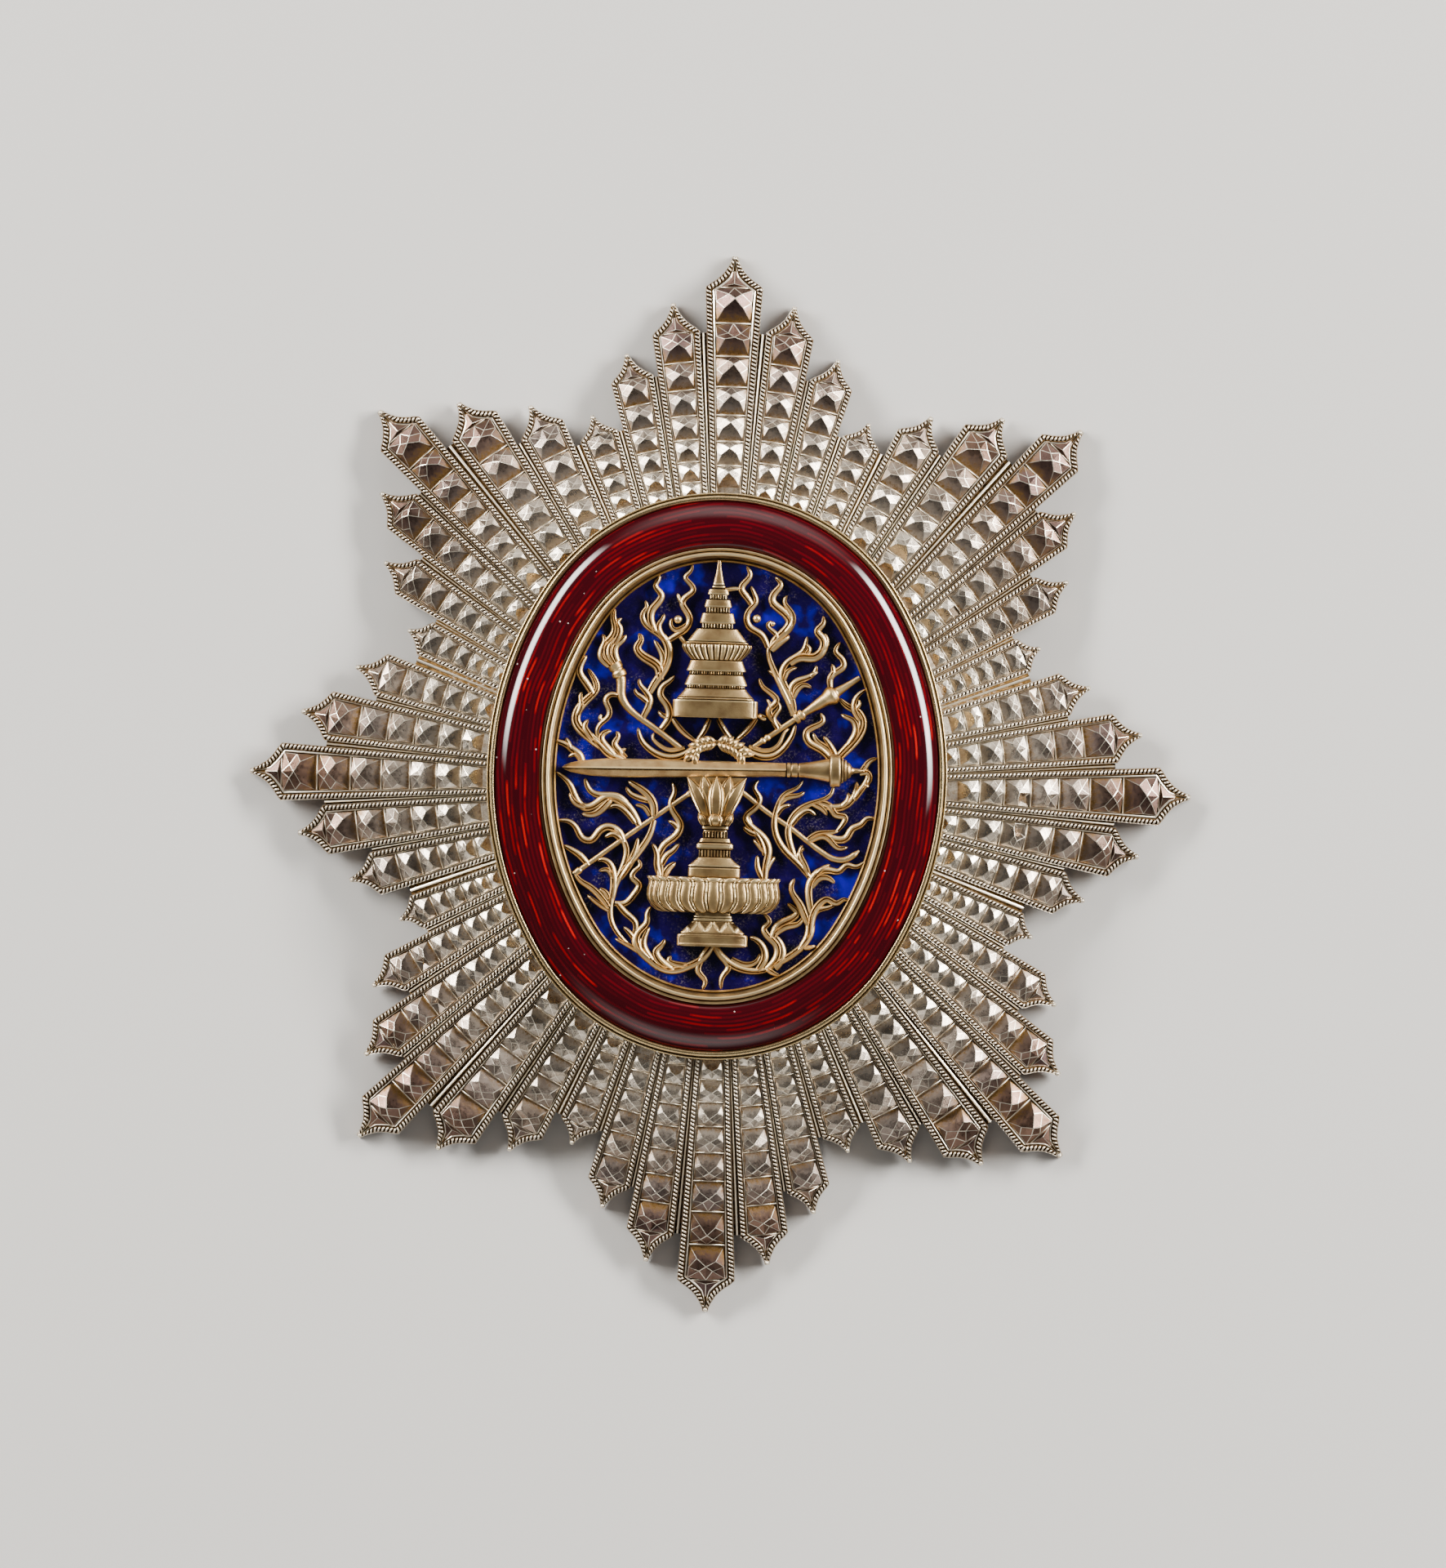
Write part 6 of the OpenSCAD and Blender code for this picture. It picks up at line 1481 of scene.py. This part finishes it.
def from_photo(quarter, flat):
    """Points x, y of a quarter's grid as millimetres from the medallion's middle."""
    pixel = QUARTERS[quarter] + np.reshape(flat, (-1, 2)) * GRID_STEP
    near = (CAMERA_HEIGHT - FRET_Z) / (CAMERA_HEIGHT - MIDDLE_HEIGHT)
    across, up = ((pixel - STAR_PX) * [1, -1] / PX_PER_MM * near).T
    cos, sin = math.cos(PICTURE_TURN), math.sin(PICTURE_TURN)
    return np.column_stack([across * cos - up * sin, across * sin + up * cos]) - MEDAL_AT


# %% Flame tongue
TONGUE_U = np.array([-1, -0.93, -0.78, -0.6, -0.42, -0.3, -0.15, 0, 0.15, 0.3, 0.42, 0.6, 0.78, 0.93, 1])
FLAME_LIFT, SHEET_Z = 0.6, FRET_Z - 0.06
RIBBON_LIFT, RIBBON_TAPER = 0.75, 0.2
NARROW, WIDE = 0.44, 0.8


def tongue(line, width, lift, taper=0.28):
    """A bar on a line. At share s of its length it is width * (0.82 + 0.36 * sin(pi * s ** 0.8)) *
    (1 - taper * s) wide with a round end. Its top has one strand if it is narrow, a broad and a
    narrow one if it is of middling width, and three if it is wide."""
    s = np.linspace(0, 1, len(line))
    swell = (0.82 + 0.36 * np.sin(np.pi * s ** 0.8)) * (1 - taper * s)
    half = width / 2 * swell * np.sqrt(1 - 0.985 * s ** 20)
    xy = line[:, None] + sideways(line)[:, None] * (half[:, None] * TONGUE_U)[..., None]
    middle = np.abs(TONGUE_U) if width > WIDE else TONGUE_U * rng.choice([-1, 1])
    groove = np.exp(-((middle - 0.3) / 0.15) ** 2) * (1 if width > NARROW else 0.3)
    roof = np.sqrt(1 - 0.8 * TONGUE_U ** 2)
    rise = lift * np.clip(half / half.max(), 0.1, 1) ** 0.6
    z = FRET_Z + rise[:, None] * (0.2 + 0.8 * roof - 0.42 * groove)
    # Painted shade in the grooves and on the sides; a painted highlight along the crests
    recess = 0.95 * groove + 1.1 * np.abs(TONGUE_U) ** 3.5
    rub_and_highlight = 0.8 * np.clip(1.2 * roof - 1.6 * groove - 0.3, 0, 1)
    return bar(xy, z, SHEET_Z, recess, rub_and_highlight)


tongues = []
for quarter, rows in FLAMES.items():
    for width, *flat in rows:
        lift = FLAME_LIFT * rng.uniform(0.85, 1.15)
        tongues.append(tongue(spline(from_photo(quarter, flat)), width / FLAME_PARTS, lift))
ribbons = []
for quarter, rows in RIBBONS.items():
    for width, *flat in rows:
        line = spline(from_photo(quarter, flat))
        ribbons.append(tongue(line, width / RIBBON_PARTS, RIBBON_LIFT, RIBBON_TAPER))
print("tongues", len(tongues), "ribbons", len(ribbons))


# %% Staffs
def round_bar(line, radius, base=FRET_Z + 0.25, squash=0.9, sections=11):
    """A half-round bar along points (x, y) with a radius at each of them, with painted shade at its sides and
    where it steps and a painted highlight along its crest.
    """
    phi = np.linspace(0, np.pi, sections)
    xy = line[:, None] + sideways(line)[:, None] * (radius[:, None] * np.cos(phi))[..., None]
    z = base + squash * radius[:, None] * np.sin(phi)
    recess = 0.8 * np.abs(np.cos(phi)) ** 3 + 3 * np.abs(np.gradient(radius))[:, None]
    return bar(xy, z, base - 0.35, recess, 0.75 * np.sin(phi) ** 6)


def staff(quarter, flat, marks):
    """A staff along a quarter's points: marks are (share of its length, radius), joined by straight
    lines."""
    line = spline(from_photo(quarter, flat), 0.07)
    marks = np.asarray(marks, float)
    return round_bar(line, np.interp(np.linspace(0, 1, len(line)), marks[:, 0], marks[:, 1]))


staffs = [
    staff("upper left", (98, 133, 80, 119, 68, 110.5, 60, 103, 56.5, 95, 56.5, 87, 55, 81, 51.5, 74.5),
          [(0, 0.26), (0.5, 0.28), (0.7, 0.37), (0.87, 0.44), (0.88, 0.62), (0.92, 0.62), (0.93, 0.52),
           (0.945, 0.52), (0.955, 0.62), (1, 0.6)]),
    staff("upper right", (30, 135, 69, 109, 108, 84),
          [(0, 0.2), (0.1, 0.22), (0.14, 0.24), (0.145, 0.33), (0.16, 0.33), (0.165, 0.24),
           (0.18, 0.24), (0.185, 0.33), (0.2, 0.33), (0.205, 0.24), (0.43, 0.24), (0.435, 0.48),
           (0.46, 0.5), (0.465, 0.36), (0.475, 0.36), (0.48, 0.5), (0.505, 0.48), (0.51, 0.3),
           (0.53, 0.3), (0.7, 0.56), (0.74, 0.78),
           (0.76, 0.82), (0.79, 0.7), (0.8, 0.42), (0.88, 0.3), (1, 0.22)]),
    staff("lower left", (106, 16, 66, 43, 24, 73),
          [(0, 0.3), (0.04, 0.3), (0.05, 0.22), (0.94, 0.22), (0.95, 0.32), (1, 0.26)]),
    staff("lower right", (24, 14, 34, 22, 46, 31.5, 60, 41, 72, 50.5, 82, 58, 90, 62.5, 98, 63, 104, 60,
                          107.5, 57),
          [(0, 0.22), (0.6, 0.22), (0.8, 0.26), (0.96, 0.26), (1, 0.1)])]


# %% Balls
def ball(quarter, x, y, radius):
    """A small round knob: rings of a half sphere on a short stem."""
    middle = from_photo(quarter, (x, y))[0]
    lift, turn = dome(8, 20, np.pi / 2 - 0.05)
    ring = radius * np.cos(lift)
    points = np.stack([middle[0] + ring * np.cos(turn), middle[1] + ring * np.sin(turn),
                       FRET_Z + 0.3 + radius * np.sin(lift)], -1)
    # A painted highlight with some rub on the knob
    return tube(np.concatenate([points[:1] - [0, 0, 0.4], points]), (0.05, 0.6, MID_TONE))


balls = [ball("upper left", 95.5, 44, 0.36), ball("upper right", 37.5, 43.5, 0.36),
         ball("upper right", 48.5, 47, 0.22), ball("upper right", 39.5, 110.5, 0.18)]
piece("flame_work", [to_star(p) for p in tongues + staffs + balls + ribbons] + [foot_ring], FLAME_GOLD,
      ["flame_fret"], sharp_angle=50)

# %% [markdown]
# ## Knot
# Over the ribbons lies a small laurel wreath, open below: an arch of leaves that point away from its
# middle, in pairs, with a rolled stem under them.

# %% Knot
WREATH_ARCH = (105, 139, 109, 131.5, 116, 129, 123, 128.5, 130, 130, 136.5, 133.5, 142, 139)
STEM_RADIUS, LEAF_PAIRS, WREATH_LEAF_WIDTH = 0.24, 6, 0.5
LEAF_AHEAD, LEAF_ASIDE = 0.66, 0.7
arch = spline(from_photo("upper left", WREATH_ARCH))
wreath = [round_bar(arch, np.full(len(arch), STEM_RADIUS), base=CREST_Z)]
normals = sideways(arch)
for share in np.linspace(0.04, 0.96, 2 * LEAF_PAIRS):
    k = int(share * (len(arch) - 1))
    away = np.array([normals[k, 1], -normals[k, 0]]) * (1 if share > 0.5 else -1)
    for side in (-1, 1):
        tip = arch[k] + LEAF_AHEAD * away + side * LEAF_ASIDE * normals[k]
        wreath.append(leaf(arch[k] - 0.15 * away, tip, WREATH_LEAF_WIDTH, 0.14 * side, CREST_Z,
                           9.9 + 0.15 * rng.uniform(), n=14, columns=9))
piece("braided_knot", [to_star(p) for p in wreath], PALE_GOLD, ["ribbon_knot"],
      sharp_angle=50)

# %% [markdown]
# ## Parts that keep their CAD shape
# The blue field is a plain slab of glass, and the brooch pin is plain metal, so their CAD solids stay
# and only get their finishes.

# %% Carried-over parts
for name, material in (("blue_enamel", BLUE), ("brooch_pin", SILVER)):
    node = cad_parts[name]
    node.data.materials.clear()
    node.data.materials.append(material)
    print(name, "keeps its CAD shape")

# %% Sizes
print("CAD box", np.round(CAD_BOX, 4).tolist())
